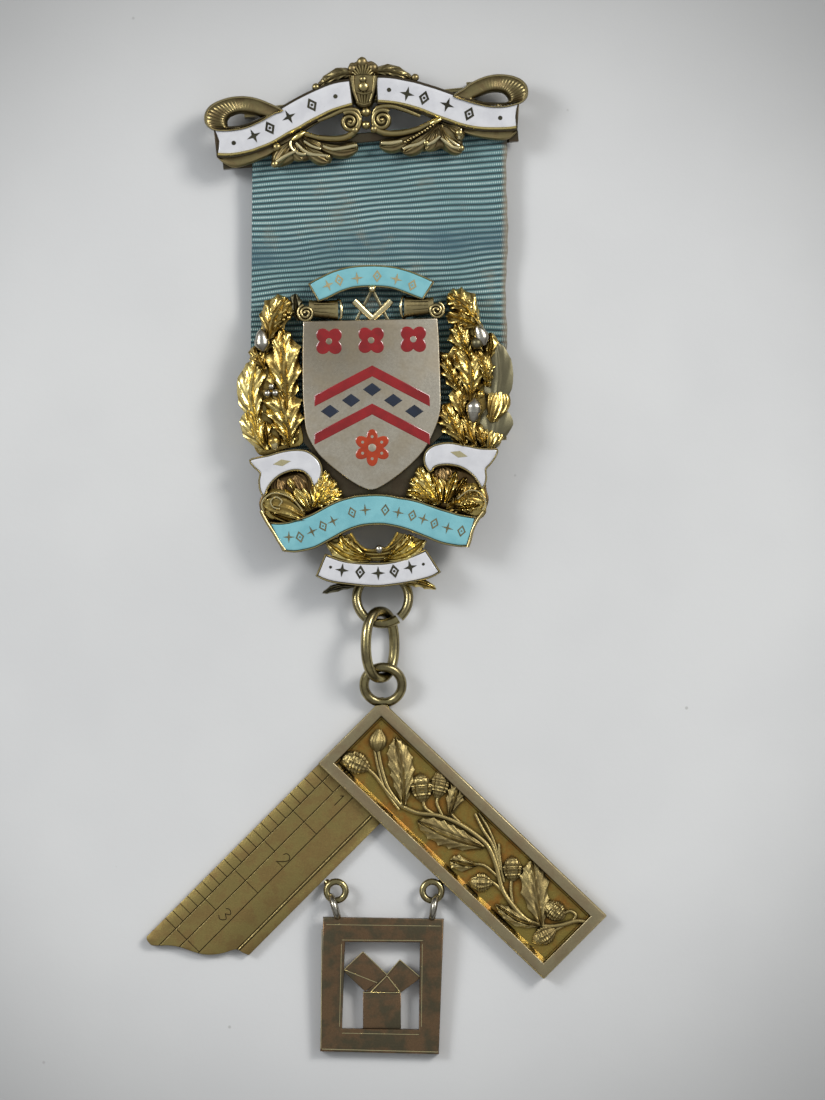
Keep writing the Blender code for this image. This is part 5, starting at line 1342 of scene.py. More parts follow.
def make_emblem():
    """The wreath, the scroll cells and the foliage as one soldered solid, with its enamels."""
    gilt = Piece("emblem", "wreath_gilt", "rim_gilt", "dull_gilt", "pale_gilt", "bright_silver",
                 "edge_gilt", "sun_gilt", "brown_gilt")
    add_grounds(gilt)
    add_foliage(gilt)
    add_rolls(gilt)
    add_square_and_compasses(gilt)
    add_emblem_back(gilt)
    add_scrolls(gilt)
    gilt.finish("gilt")


def add_grounds(gilt):
    """The plates and pillows under the wreath and the feet, and the crescent of laurel."""
    unit = EMBLEM.square
    # The feet's grounds are brown gilt: painted shade for the hollows under the curls.
    for outline, kind in ((LEFT_WREATH, "wreath_gilt"), (RIGHT_WREATH, "wreath_gilt"),
                          (LEFT_FOOT, "brown_gilt"), (RIGHT_FOOT, "brown_gilt")):
        line = spaced(EMBLEM.line(outline, 4, closed=True), 90, closed=True)
        gilt.add(plate(line, METAL_BACK, EMBLEM_GROUND, bevel=0.15), kind)
        gilt.add(pillow(inset(line, 3 * unit), METAL_BACK + 0.1, EMBLEM_GROUND - 0.2,
                        EMBLEM_GROUND + 0.35, 7 * unit), kind)
    for rim in CURLED_RIMS:
        gilt.wire(EMBLEM.line(rim, 6), EMBLEM_GROUND + 1.1, 0.13, "pale_gilt")
    for ridge in CRESCENT_RIDGES:
        gilt.wire(EMBLEM.line(ridge, 6), EMBLEM_GROUND + 0.25, 0.2)
    crescent = scroll_outline(CRESCENT_OUTER, CRESCENT_INNER)
    gilt.add(plate(crescent, METAL_BACK, EMBLEM_GROUND + 0.2, bevel=0.12))
    gilt.wire(EMBLEM.line(CRESCENT_INNER, 6), EMBLEM_GROUND + 0.75, 0.16)


def add_foliage(gilt):
    """The leaves of the wreath and the feet, the berries and the acorns."""
    unit = EMBLEM.square
    for path, width, lobes, cut, low, high, cant, kind in LEFT_LEAVES + RIGHT_LEAVES + FOOT_LEAVES:
        settings = LEAF_SORTS["fluted" if not lobes else "small" if width < 18 else "oak"]
        if kind == "dull_gilt" and width > 25:
            settings = LEAF_SORTS["broad"]
        gilt.add(leaf(EMBLEM.all(path), width * unit, EMBLEM_GROUND + low, EMBLEM_GROUND + high,
                      lobes, cut, cant, depth=0.9, **settings), kind)
    for x, y, size, kind in BERRIES:
        gilt.bead(EMBLEM.at(x, y), EMBLEM_GROUND + 1.45, size * unit, kind)
    for base, tip, width, kind in ACORNS:
        cup, nut = acorn_parts(EMBLEM.at(*base), EMBLEM.at(*tip), width * unit,
                               EMBLEM_GROUND + 1.35, knurl=0.0)
        gilt.add(cup, kind if kind == "bright_silver" else "wreath_gilt")
        gilt.add(nut, kind)
    gilt.bead(EMBLEM.at(*PEARL), EMBLEM_GROUND + 1.1, 4.4 * unit, "bright_silver")
    gilt.bead(EMBLEM.at(*TOP_PEARL), EMBLEM_FACE - 0.1, 4 * unit, "pale_gilt")


def add_scrolls(gilt):
    """The enamelled scrolls and curls with their gilt cells."""
    unit = EMBLEM.square
    # The number scroll's marks are pale gilt: their brightness is a painted highlight.
    number = make_scroll(gilt, "number_scroll", scroll_outline(NUMBER_TOP, NUMBER_FOOT),
                         EMBLEM_FACE, "turquoise_enamel", 1.5, NUMBER_MARKS, 12.5, 1.9,
                         "pale_gilt")
    number.finish("turquoise_enamel")
    motto = make_scroll(gilt, "motto_scroll", scroll_outline(MOTTO_TOP, MOTTO_FOOT), EMBLEM_FACE,
                        "turquoise_enamel", 2.0, MOTTO_MARKS, 12, 1.5, "mark_gilt")
    motto.finish("turquoise_enamel")
    for rim in (MOTTO_LEFT_RIM, MOTTO_RIGHT_RIM):
        gilt.wire(EMBLEM.line(rim, 6), EMBLEM_FACE - 0.15, 0.22, "rim_gilt", 10)
    lower = make_scroll(gilt, "lower_scroll", scroll_outline(LOWER_TOP, LOWER_FOOT), LOWER_FACE,
                        "white_enamel", 2.0, LOWER_MARKS, 14, 2.4, "mark_dark")
    for x, y in LOWER_DOTS:
        lower.add(plate(disc(EMBLEM.at(x, y), 1.5 * unit, 10), LOWER_FACE, LOWER_FACE + 0.09),
                  "mark_dark")
    lower.finish("white_enamel")
    for name, outline, mark, angle in CURLS:
        fill = make_scroll(gilt, name, EMBLEM.line(outline, 3, closed=True), EMBLEM_FACE,
                           "white_enamel", 1.6, [], 1, 1, "pale_gilt")
        diamond = turned_outline(lozenge(9 * unit, 3.4 * unit), EMBLEM.at(*mark), angle)
        fill.add(plate(diamond, EMBLEM_FACE - 0.1, EMBLEM_FACE + 0.09), "pale_gilt")
        fill.finish("white_enamel")


# The rolls beside the number scroll: the way that they open, the volute, the flared end, their
# level and the volute's radius
ROLLS = [(1, 307, 339, 311, 8.5), (-1, 437, 405, 308, 8.0)]


def add_rolls(gilt):
    """The rolled ends of the number scroll: a roll with a flared lip and lines, and a volute."""
    for side, x_volute, x_flare, y, size in ROLLS:
        add_roll(gilt, side, x_volute + side * 3, x_flare, y)
        add_roll_volute(gilt, side, EMBLEM.at(x_volute, y + 3), size * EMBLEM.square)


def add_roll(gilt, side, start, x_flare, y):
    """One roll: half round, with rings turned into it, and wider at its flared end."""
    unit = EMBLEM.square
    axis_height = EMBLEM_GROUND + 0.35
    count = 30
    turn = np.linspace(0, pi, 14)
    rows = []
    for k in range(count):
        share = k / (count - 1)
        in_ring = k % 5 == 4 and k < 24
        wide = (8.6 + 2.2 * share**2) * (0.95 if in_ring else 1.0)
        centre = EMBLEM.at(start + (x_flare - start) * share, y - 2 * (1 - share))
        rows.append(np.stack((
            np.full(len(turn), centre[0]),
            centre[1] + wide * unit * np.cos(turn),
            axis_height + (0.8 + 0.25 * share) * np.sin(turn),
        ), 1))
    rows = np.array(rows)
    low = rows.copy()[:, [0, -1]]
    low[:, :, 2] = METAL_BACK + 0.1
    gilt.add(skin(np.concatenate((low[:, :1], rows, low[:, 1:]), axis=1)), "rim_gilt")
    turn = np.linspace(-0.15, pi + 0.15, 24)
    centre = EMBLEM.at(x_flare, y)
    lip = np.stack((
        centre[0] + side * 0.45 * np.sin(turn),
        centre[1] + 11 * unit * np.cos(turn),
        axis_height + 1.1 * np.sin(turn),
    ), 1)
    gilt.add(tube(lip, 0.16, 10, normal=(1, 0, 0)), "pale_gilt")
    for offset in (-5.5, -1.5, 3.5):
        line = spaced(EMBLEM.all([(start + side * 5, y - 1 + offset),
                                  (x_flare - side * 3, y + offset * 1.15)]), 8)
        height = EMBLEM_GROUND + 0.37 + 1.0 * (1 - (offset / 10) ** 2) ** 0.5
        gilt.wire(line, height, 0.08, "rim_gilt", 6)


def add_roll_volute(gilt, side, centre, radius):
    count = 90
    start = pi / 2 + side * 0.3
    route = spiral(centre, start, start + side * 4.4 * pi, radius, 1.4 * EMBLEM.square, count)
    gilt.wire(route, np.linspace(EMBLEM_FACE - 0.15, EMBLEM_FACE + 0.35, count),
              np.linspace(0.2, 0.15, count), "rim_gilt", 10)
    gilt.add(plate(disc(centre, radius * 0.95), METAL_BACK + 0.08, EMBLEM_FACE - 0.2, bevel=0.2),
             "dull_gilt")


COMPASS_HINGE = (373, 290)
# The arms of the small square and the legs of the compasses: ends, radius, height and metal
SMALL_RODS = [
    ((355, 301.5), (375, 321), 3.4, 0.25, "pale_gilt"),
    ((392, 301.5), (372, 321), 3.4, 0.27, "pale_gilt"),
    (COMPASS_HINGE, (357, 321), 1.7, -0.1, "dull_gilt"),
    (COMPASS_HINGE, (389, 321), 1.7, -0.08, "dull_gilt"),
]


def add_square_and_compasses(gilt):
    """The small square and compasses over the shield, as flattened rods."""
    unit = EMBLEM.square
    for start, end, wide, height, kind in SMALL_RODS:
        line = spaced(EMBLEM.all([start, end]), 8)
        gilt.add(tube(lift(line, SHIELD_BACK + height), wide * unit, 12, flat=0.6), kind)
    gilt.bead(EMBLEM.at(*COMPASS_HINGE), SHIELD_BACK + 0.2, 3.2 * unit, "pale_gilt", 0.6)


# The plate under the shield, and where the ribbon's loop starts and ends
BACK_FIELD = [(312, 330), (372, 327), (430, 328), (434, 360), (450, 372), (434, 384), (434, 410),
              (449, 428), (430, 446), (427, 466), (422, 498), (376, 499), (344, 504), (317, 480),
              (317, 458), (304, 442), (299, 430), (311, 412), (311, 388), (298, 372), (311, 360)]
LOOP_ENDS = (247, 507)


def add_emblem_back(gilt):
    """What is behind: the plate under the shield, the ribbon's loop and the ring's staple."""
    field = EMBLEM.line(BACK_FIELD, 2, closed=True)
    # The plate under the shield is dark edge gilt, its darkness partly painted shade, as it lies
    # deep under the shield.
    gilt.add(plate(field, METAL_BACK + 0.05, EMBLEM_GROUND - 0.1), "edge_gilt")
    left, level = EMBLEM.at(LOOP_ENDS[0], FOOT_LOOP[1])
    right = EMBLEM.at(LOOP_ENDS[1], FOOT_LOOP[1])[0]
    half = STRIP_WIDTH / 2
    bar = rectangle(left + 0.1, right - 0.1, level - half + 0.02, level + half - 0.02)
    gilt.add(plate(bar, STRIP_BOTTOM + 0.02, STRIP_TOP, bevel=0.08, foot=0.08), "rim_gilt")
    for start in (left, right - RIGHT_LEG):
        leg = rectangle(start, start + RIGHT_LEG, level - half, level + half)
        gilt.add(plate(leg, STRIP_BOTTOM, METAL_BACK + 0.43), "rim_gilt")
    size, (x, y, _) = size_of("emblem_ring")
    y += (size[1] - RING_WIRE) / 2
    turn = np.linspace(0, pi, 24)
    bend = np.stack((np.full(len(turn), x), y + STAPLE_HALF * np.cos(turn),
                     STAPLE_MIDDLE - STAPLE_DEPTH * np.sin(turn)), 1)
    high = METAL_BACK + 0.3
    route = np.vstack(((x, y + STAPLE_HALF, high), bend, (x, y - STAPLE_HALF, high)))
    gilt.add(tube(route, STAPLE_WIRE / 2, 12, normal=(1, 0, 0)), "rim_gilt")


# The charges: places and levels on the shield, and sizes in squares
CHARGE_MIDDLE = 373
QUATREFOILS = {"left": (330, 342), "middle": (372, 341), "right": (414, 340)}
CHEVRONS = {"upper": 366, "lower": 404}
CHEVRON_HALF = 57.5
CHEVRON_FALL = 30
CHEVRON_WIDTH = 11
CHAIN_LEVEL = 390
CHAIN_HALF = 58
CHAIN_PITCH = 21
ROSETTE = (CHARGE_MIDDLE, 448)


def petals(centre, size, count):
    """A flower outline with round petals."""
    turn = np.arange(count * 10) * 2 * pi / (count * 10)
    reach = size * (0.62 + 0.38 * np.abs(np.sin(count * turn / 2)))
    return np.stack((centre[0] + reach * np.cos(turn), centre[1] + reach * np.sin(turn)), 1)


def make_shield():
    """The silver shield with a rounded edge, and its generic charges."""
    shield = Piece("shield", "silver")
    top = EMBLEM.all(SHIELD[:5])
    sides = EMBLEM.line(SHIELD[4:] + SHIELD[:1], 3)
    outline = np.vstack((top[:-1], sides[:-1]))
    shield.add(plate(outline, SHIELD_BACK, SHIELD_FACE, bevel=0.16, steps=4, foot=0.05))
    shield.finish("silver")
    for side, place in QUATREFOILS.items():
        make_charge(f"quatrefoil_{side}", "red_enamel", *flower(EMBLEM.at(*place), 15.5, 4, 3.2))
    left = CHARGE_MIDDLE - CHEVRON_HALF
    right = CHARGE_MIDDLE + CHEVRON_HALF
    for name, level in CHEVRONS.items():
        low = level + CHEVRON_FALL
        outline = [(left, low), (CHARGE_MIDDLE, level), (right, low), (right, low + CHEVRON_WIDTH),
                   (CHARGE_MIDDLE, level + CHEVRON_WIDTH), (left, low + CHEVRON_WIDTH)]
        make_charge(f"chevron_{name}", "red_enamel", [charge(EMBLEM.all(outline), 0.12)])
    chain = []
    for k in range(-2, 3):
        off = CHAIN_PITCH * k
        centre = EMBLEM.at(CHARGE_MIDDLE + off, CHAIN_LEVEL + abs(off) * CHEVRON_FALL / CHAIN_HALF)
        shape = turned_outline(lozenge(9.3 * EMBLEM.square, 6.6 * EMBLEM.square), centre, 0)
        chain.append(charge(shape, 0.1))
    make_charge("lozenge_chain", "dark_enamel", chain)
    centre = EMBLEM.at(*ROSETTE)
    rose, studs = flower(centre, 18.5, 6, 4)
    for k in range(6):
        turn = pi / 6 + k * pi / 3
        reach = 11 * EMBLEM.square
        spot = (centre[0] + reach * cos(turn), centre[1] + reach * sin(turn))
        studs.append(plate(disc(spot, 1.5 * EMBLEM.square, 12), SHIELD_FACE - 0.2,
                           SHIELD_FACE + 0.065))
    make_charge("rosette", "orange_enamel", rose, studs)


def charge(outline, reach):
    """A slightly domed enamel that stands a little over the shield."""
    return pillow(outline, SHIELD_FACE - 0.3, SHIELD_FACE, SHIELD_FACE + 0.05, reach)


def flower(centre, size, count, stud):
    """A flower in squares of the drawing, as its enamel and its silver studs."""
    unit = EMBLEM.square
    return (
        [charge(petals(centre, size * unit, count), 0.15)],
        [plate(disc(centre, stud * unit, 20), SHIELD_FACE - 0.2, SHIELD_FACE + 0.07, bevel=0.02)],
    )


def make_charge(name, kind, enamels, studs=()):
    """One of the shield's enamels. The rosette's orange shares the slot of the red."""
    piece = Piece(name, kind, "silver")
    for shape in enamels:
        piece.add(shape)
    for shape in studs:
        piece.add(shape, "silver")
    piece.finish("red_enamel" if kind == "orange_enamel" else kind)


# Rings


def make_rings():
    """The emblem's ring, which is split at its lower right, and the leaning oval link."""
    size, centre = size_of("emblem_ring")
    radius = (size[0] - RING_WIRE) / 2
    lean = radians(-9)
    gap = radians(3)
    turn = np.linspace(radians(-52) + gap, radians(308) - gap, 90)
    points = centre + np.stack((radius * np.cos(turn), radius * np.sin(turn) * cos(lean),
                                radius * np.sin(turn) * sin(lean)), 1)
    split = Piece("emblem_ring", "ring_gilt")
    split.add(tube(points, RING_WIRE / 2, 18, normal=(0, -sin(lean), cos(lean))))
    split.finish("dark_gilt")
    size, centre = size_of("oval_link")
    lean = radians(50)
    wire = 1.3
    link_width = 6.8
    half = (size[1] - wire) / 2
    wide = (link_width - wire) / 2
    turn = np.linspace(0, 2 * pi, 96, endpoint=False) + 0.01
    side = wide * np.sign(np.cos(turn)) * np.abs(np.cos(turn)) ** 0.85
    run = half * np.sign(np.sin(turn)) * np.abs(np.sin(turn)) ** 0.92
    points = centre + np.stack((-side * cos(lean), run, side * sin(lean)), 1)
    link = Piece("oval_link", "ring_gilt")
    link.add(tube(points, wire / 2, 18, closed=True, normal=(sin(lean), 0, cos(lean))))
    link.finish("dark_gilt")


# Square

ARM_CORNERS = [(382, 703), (608, 918), (545, 981), (319, 766)]
BLADE_START = (320, 766)
BLADE_TIP = (148, 938)
BUD_ENDS = ((378, 754), (380, 732))
# The loops for the plaque: place, and where their solder meets the edge
LOOP_PLACES = [((337, 893), (327, 884)), ((433, 893), (443, 884))]
# Heights and sizes of the arm, the blade and the loops in millimetres
ARM_TOP = 2.1
ARM_FLOOR = 1.1
BLADE_TOP = 1.1
ARM_LENGTH = 39.0
ARM_WIDTH = 11.1
ARM_RIM = 1.4
RELIEF = 0.8
LOOP_DIAMETER = 3.2
LOOP_WIRE = 0.85
ARM_STEMS = [
    ([(379, 750), (382, 768), (389, 790), (402, 808)], 2.2),
    ([(375, 750), (379, 770), (386, 792), (400, 812)], 1.6),
    ([(402, 808), (418, 815), (440, 818), (460, 826), (478, 838), (490, 850), (498, 870),
      (503, 890), (512, 905), (527, 921), (545, 928), (562, 927), (577, 923), (587, 924)], 2.8),
    ([(366, 769), (376, 778), (388, 794), (402, 809)], 2.0),
    ([(476, 816), (484, 832), (494, 848), (501, 872)], 2.0),
    ([(480, 815), (490, 832), (497, 850), (503, 876)], 1.5),
    ([(500, 846), (501, 862), (505, 884)], 1.8),
    ([(513, 878), (512, 892), (514, 907)], 1.9),
    ([(424, 800), (426, 810), (436, 817)], 1.9),
    ([(440, 797), (438, 806), (444, 819)], 1.8),
    ([(449, 810), (452, 816), (462, 826)], 1.8),
    ([(474, 866), (486, 868), (500, 880)], 1.8),
    ([(489, 882), (496, 886), (504, 894)], 1.8),
    ([(563, 917), (571, 913), (577, 917), (574, 923)], 1.7),
    ([(550, 930), (556, 932), (566, 927)], 1.7),
    ([(404, 808), (404, 800), (402, 790)], 2.0),
]
# Leaves of the arm: path from base to tip, width, lobes, cut, cant
ARM_LEAVES = [
    ([(405, 808), (403, 775), (396, 740)], 27, 6, 0.16, 0.12),
    ([(486, 850), (452, 839), (418, 823)], 26, 6, 0.18, -0.12),
    ([(543, 928), (537, 896), (533, 862)], 31, 5, 0.2, 0.12),
    ([(543, 928), (520, 922), (496, 906)], 14, 5, 0.12, 0.1),
    ([(450, 818), (455, 803), (461, 786)], 20, 4, 0.22, 0.0),
    ([(478, 868), (464, 866), (451, 862)], 17, 3, 0.22, 0.0),
]
# Acorns of the arm: the cup's base, the tip and the width
ARM_ACORNS = [
    ((370, 771), (340, 757), 21),
    ((424, 804), (421, 774), 21),
    ((438, 800), (445, 769), 18),
    ((493, 885), (469, 884), 18),
    ((514, 883), (513, 857), 19),
    ((565, 920), (545, 904), 19),
    ((556, 931), (533, 945), 18),
]


def arm_box(low, high, near, far):
    """A rectangle on the arm, in millimetres along it from the apex and across it."""
    apex = np.array(ARM.at(*ARM_CORNERS[0]))
    end = np.array(ARM.at(*ARM_CORNERS[1]))
    side = np.array(ARM.at(*ARM_CORNERS[3]))
    along = (end - apex) / np.linalg.norm(end - apex)
    across = (side - apex) / np.linalg.norm(side - apex)
    return [apex + along * a + across * c for a, c in rectangle(low, high, near, far)]


def arm_inset(gap):
    return arm_box(gap, ARM_LENGTH - gap, gap, ARM_WIDTH - gap)


def make_square():
    """The framed arm with its relief, the ruled blade, the apex ring and two loops, soldered."""
    square = Piece("square", "square_gilt", "floor_gilt", "relief_gilt", "blade_gilt", "groove",
                   "ring_gilt", "pale_gilt", "rim_gilt")
    add_frame(square)
    add_relief(square)
    add_blade(square)
    add_square_rings(square)
    square.finish("dark_gilt")


def add_frame(square):
    """The arm's frame and floor, with lines along the floor's edges, and painted highlights: bright
    lines along the frame's outer edges and a bright inner slope at the lower left.
    """
    corners = arm_box(0, ARM_LENGTH, 0, ARM_WIDTH)
    ahead = (corners[1] - corners[0]) / ARM_LENGTH
    down = (corners[3] - corners[0]) / ARM_WIDTH
    outline = [corners[0] + ahead * 0.75, *corners[1:], corners[0] + down * 0.9]
    window = arm_inset(ARM_RIM)
    square.add(plate(outline, 0.0, ARM_TOP, bevel=0.16, holes=[window[::-1]], steps=4, foot=0.12))
    square.add(plate(arm_inset(ARM_RIM / 2), 0.35, ARM_FLOOR), "floor_gilt")
    frame_line = arm_inset(ARM_RIM + 0.14)
    for start, stop in zip(frame_line, frame_line[1:] + frame_line[:1]):
        height = ARM_FLOOR + 0.05 + 0.02 * rng.standard_normal(30)
        square.wire(np.linspace(start, stop, 30), height, 0.18, "floor_gilt")
    # Painted highlight: the window's inner slope at the lower left is pale gilt, bright where the
    # light from the upper right falls.
    wall = np.array((window[3], window[2]))
    slope = [lift(wall, ARM_TOP - 0.3), lift(wall - down * 0.5, ARM_FLOOR), lift(wall, ARM_FLOOR)]
    square.add(skin(np.stack(slope, 1)), "pale_gilt")
    # Painted highlights: bright gilt wires along the frame's outer edges.
    middle = (corners[0] + corners[2]) / 2
    for start, stop in zip(outline, outline[1:] + outline[:1]):
        edge = np.linspace(start, stop, 20) * 0.997 + middle * 0.003
        square.wire(edge, ARM_TOP - 0.1, 0.09, "rim_gilt")


def add_relief(square):
    """The oak spray on the arm's floor: stems, leaves, acorns and a bud."""
    unit = ARM.square
    for route, wide in ARM_STEMS:
        line = ARM.line(route, 8)
        taper = wide * unit * (0.75 + 0.25 * np.cos(np.linspace(-1.2, 1.2, len(line))))
        square.wire(line, ARM_FLOOR + 0.28, taper, "relief_gilt", 10)
    for path, wide, lobes, cut, cant in ARM_LEAVES:
        shape = leaf(ARM.all(path), wide * unit, ARM_FLOOR + 0.15, ARM_FLOOR + RELIEF, lobes, cut,
                     cant, rib=0.3, ridge=0.075, drop=0.05, depth=0.3, sweep=0.8, edge=0.55,
                     slant=1.3)
        square.add(shape, "relief_gilt")
    height = ARM_FLOOR + 0.35
    for base, tip, wide in ARM_ACORNS:
        for part in acorn_parts(ARM.at(*base), ARM.at(*tip), wide * unit, height, 0.75,
                                knurl=0.13, cup_share=0.6):
            square.add(part, "relief_gilt")
    profile = [(0.0, 0.3), (0.12, 0.62), (0.3, 0.95), (0.5, 1.05), (0.7, 0.9), (0.88, 0.55),
               (1.0, 0.3)]
    base, tip = ((*ARM.at(*place), height) for place in BUD_ENDS)
    bud = turned(base, tip, profile, sides=40, flat=0.7, knurl=0.12, knurls=6)
    square.add(bud, "relief_gilt")


def groove(points, width, depth):
    """A cutter with a pointed section along a line on the blade."""
    points = np.array(points, float)
    ahead = np.gradient(points, axis=0)
    ahead /= np.linalg.norm(ahead, axis=1, keepdims=True)
    side = np.stack((-ahead[:, 1], ahead[:, 0]), 1) * width / 2
    low = lift(points, BLADE_TOP - depth)
    left = lift(points + side * 1.4, BLADE_TOP + depth * 0.4)
    right = lift(points - side * 1.4, BLADE_TOP + depth * 0.4)
    return skin(np.stack((low, left, right), 1))


def gathered(shapes):
    """Several shapes as one."""
    points = []
    faces = []
    count = 0
    for shape_points, shape_faces in shapes:
        points.append(shape_points)
        faces += [tuple(count + i for i in face) for face in shape_faces]
        count += len(shape_points)
    return np.vstack(points), faces


def carved(shape, rounds):
    """The shape with rounds of cutters taken from it, as points and faces."""
    base = as_object("carved", shape)
    for cutters in rounds:
        cutter = as_object("cutter", gathered(cutters))
        step = base.modifiers.new("cut", "BOOLEAN")
        step.operation = "DIFFERENCE"
        step.solver = "EXACT"
        step.object = cutter
        bpy.context.view_layer.update()
        graph = bpy.context.evaluated_depsgraph_get()
        mesh = bpy.data.meshes.new_from_object(base.evaluated_get(graph))
        base.modifiers.clear()
        base.data = mesh
        bpy.data.objects.remove(cutter)
    points = np.array([v.co for v in base.data.vertices])
    faces = [tuple(p.vertices) for p in base.data.polygons]
    bpy.data.objects.remove(base)
    return points, faces


# The blade's end, as distances along from the joint and across from the upper edge, in millimetres
BLADE_END = [(30.6, 0.0), (30.85, 0.25), (30.95, 0.7), (30.9, 1.25), (30.2, 2.0), (29.3, 2.9),
             (28.6, 3.9), (28.1, 4.9), (27.6, 5.9), (27.0, 6.8), (26.2, 7.6), (25.2, 8.3),
             (24.2, 8.8), (23.7, 9.25), (23.55, 9.9), (23.2, 10.7)]
BLADE_LINES = [1.86, 3.8, 6.0, 9.1, 9.45]
BLADE_TICK = 1.3
BLADE_LENGTH = 30.9
LINE_WIDTH = 0.12
LINE_DEPTH = 0.07
TICK_WIDTH = 0.1
TICK_DEPTH = 0.06
DIGIT_WIDTH = 1.5
DIGIT_HEIGHT = 1.7
# The raised edges of the engraved lines: place across and radius
BLADE_BURRS = [(9.28, 0.07), (1.98, 0.03), (3.92, 0.03)]
DIGIT_PLACES = {1: (340, 803), 2: (285, 862), 3: (226, 917)}
# Plain ruler numbers as strokes on a unit box, x to the right and y up
DIGITS = {
    1: [[(0.5, 1.0), (0.5, 0.0)], [(0.3, 0.8), (0.5, 0.97)]],
    2: [[(0.15, 0.72), (0.3, 0.95), (0.65, 0.95), (0.8, 0.7), (0.6, 0.4), (0.15, 0.0)],
        [(0.1, 0.02), (0.9, 0.02)]],
    3: [[(0.15, 0.85), (0.45, 1.0), (0.78, 0.78), (0.4, 0.53)],
        [(0.42, 0.56), (0.8, 0.3), (0.45, 0.0), (0.12, 0.15)]],
}


def blade_stop(side):
    """How far along a line runs before it meets the blade's end."""
    return np.interp(side, [across for _, across in BLADE_END], [along for along, _ in BLADE_END])


def add_blade(square):
    """The flat blade with its engraved lines, divisions and plain numbers."""
    apex = np.array(ARM.at(*BLADE_START))
    tip = np.array(ARM.at(*BLADE_TIP))
    along = (tip - apex) / np.linalg.norm(tip - apex)
    across = np.array((-along[1], along[0]))

    def at(run, side):
        return apex + along * run + across * side

    outline = [at(-0.6, 0.0), *(at(run, side) for run, side in curve(BLADE_END, 3)),
               at(-0.6, BLADE_END[-1][1])]
    body = plate(outline, 0.0, BLADE_TOP, bevel=0.07, steps=2, foot=0.05)
    lines = [groove([at(0.05, side), at(blade_stop(side) + 0.5, side)], LINE_WIDTH, LINE_DEPTH)
             for side in BLADE_LINES]
    ticks = []
    for number in range(int((BLADE_LENGTH - 2 * BLADE_TICK) / BLADE_TICK)):
        run = BLADE_TICK * (number + 1)
        reach = BLADE_LINES[2 if number % 8 == 4 else number % 4 == 0]
        ticks.append(groove([at(run, -0.3), at(run, reach)], TICK_WIDTH, TICK_DEPTH))
    digits = [[], []]
    for digit, place in DIGIT_PLACES.items():
        centre = np.array(ARM.at(*place))
        for number, stroke in enumerate(DIGITS[digit]):
            line = [centre + along * (0.5 - y) * DIGIT_HEIGHT + across * (x - 0.5) * DIGIT_WIDTH
                    for x, y in stroke]
            line = curve(line, 4) if len(line) > 2 else line
            digits[number].append(groove(line, LINE_WIDTH, TICK_DEPTH))
    for side, wide in BLADE_BURRS:
        burr = np.linspace(at(0.1, side), at(blade_stop(side) - 0.1, side), 40)
        square.wire(burr, BLADE_TOP - 0.01, wide, "relief_gilt", 6)
    points, faces = carved(body, (lines, ticks, *digits))
    flat = []
    cut = []
    for face in faces:
        corners = points[list(face)]
        low = corners[:, 2].min()
        normal = np.cross(corners[1] - corners[0], corners[2] - corners[0])
        normal /= max(np.linalg.norm(normal), 1e-12)
        inside = BLADE_TOP - 0.12 < low < BLADE_TOP - 0.045
        (cut if inside and 0.2 < abs(normal[2]) < 0.96 else flat).append(face)
    square.add((points, flat), "blade_gilt")
    # The faces inside the engraved lines take the dark groove metal: painted shade in them, and
    # tarnish.
    square.add((points, cut), "groove")


def add_square_rings(square):
    """The ring on the apex and the two small loops under the arms, with their solder."""
    size, middle = size_of("square")
    top = middle[1] + size[1] / 2
    apex = ARM.at(*ARM_CORNERS[0])
    diameter = 5.95
    centre = (apex[0] + 0.25, top - diameter / 2 + 0.12, ARM_FLOOR + 0.85)
    square.add(ring(centre, diameter, RING_WIRE, radians(20), sides=18), "ring_gilt")
    solder = (centre[0] - 0.1, centre[1] - (diameter - RING_WIRE) / 2 - 0.1)
    square.bead(solder, 1.0, 0.95, "ring_gilt", 0.75)
    for place, edge in LOOP_PLACES:
        near = np.array((*ARM.at(*place), 1.6))
        far = np.array((*ARM.at(*edge), 0.7))
        square.add(ring(near, LOOP_DIAMETER, LOOP_WIRE, sides=14, steps=48), "ring_gilt")
        start = near + (far - near) * 0.75
        square.add(tube(np.linspace(start, far, 6), 0.42, 10), "ring_gilt")


# Plaque

PLAQUE_FRAME = [(324, 918), (445, 920), (440, 1056), (321, 1053)]
PLAQUE_WINDOW = [(346, 943), (421, 943.5), (420, 1031), (343, 1030)]
PLAQUE_HEAD = (384, 919)
# Its two loops: the far end and the foot, on the plaque's upper edge
PLAQUE_LOOPS = [((331, 893), (339, 919)), ((437.5, 893), (433, 920))]
# The plates of the figure, each as its corners
FIGURE = [
    [(364, 953), (344, 972), (366, 993), (388, 976)],
    [(401, 961), (422, 979), (402, 994), (387, 977)],
    [(388, 975), (365, 995), (402, 995)],
    [(364, 993), (402, 993), (402, 1033), (364, 1033)],
]
FIGURE_LINES = [
    [(345, 971), (378, 984)],
    [(364, 953), (388, 976)],
    [(401, 961), (388, 976)],
    [(388, 977), (371, 994)],
    [(388, 977), (401, 993)],
    [(364, 994), (402, 994)],
    [(344, 972), (364, 953)],
    [(401, 961), (422, 979)],
]
# Bright lines along the edges of the plaque and its window: painted highlights.
PLAQUE_LINES = [
    [(327, 925.5), (442, 927)],
    [(343, 1034.5), (420, 1036)],
    [(323, 1050.5), (439, 1053.5)],
    [(343, 941), (424, 941.5)],
    [(323, 930), (321.8, 1050)],
    [(342.5, 945), (340.5, 1028)],
    [(423.5, 945), (422.5, 1028)],
]


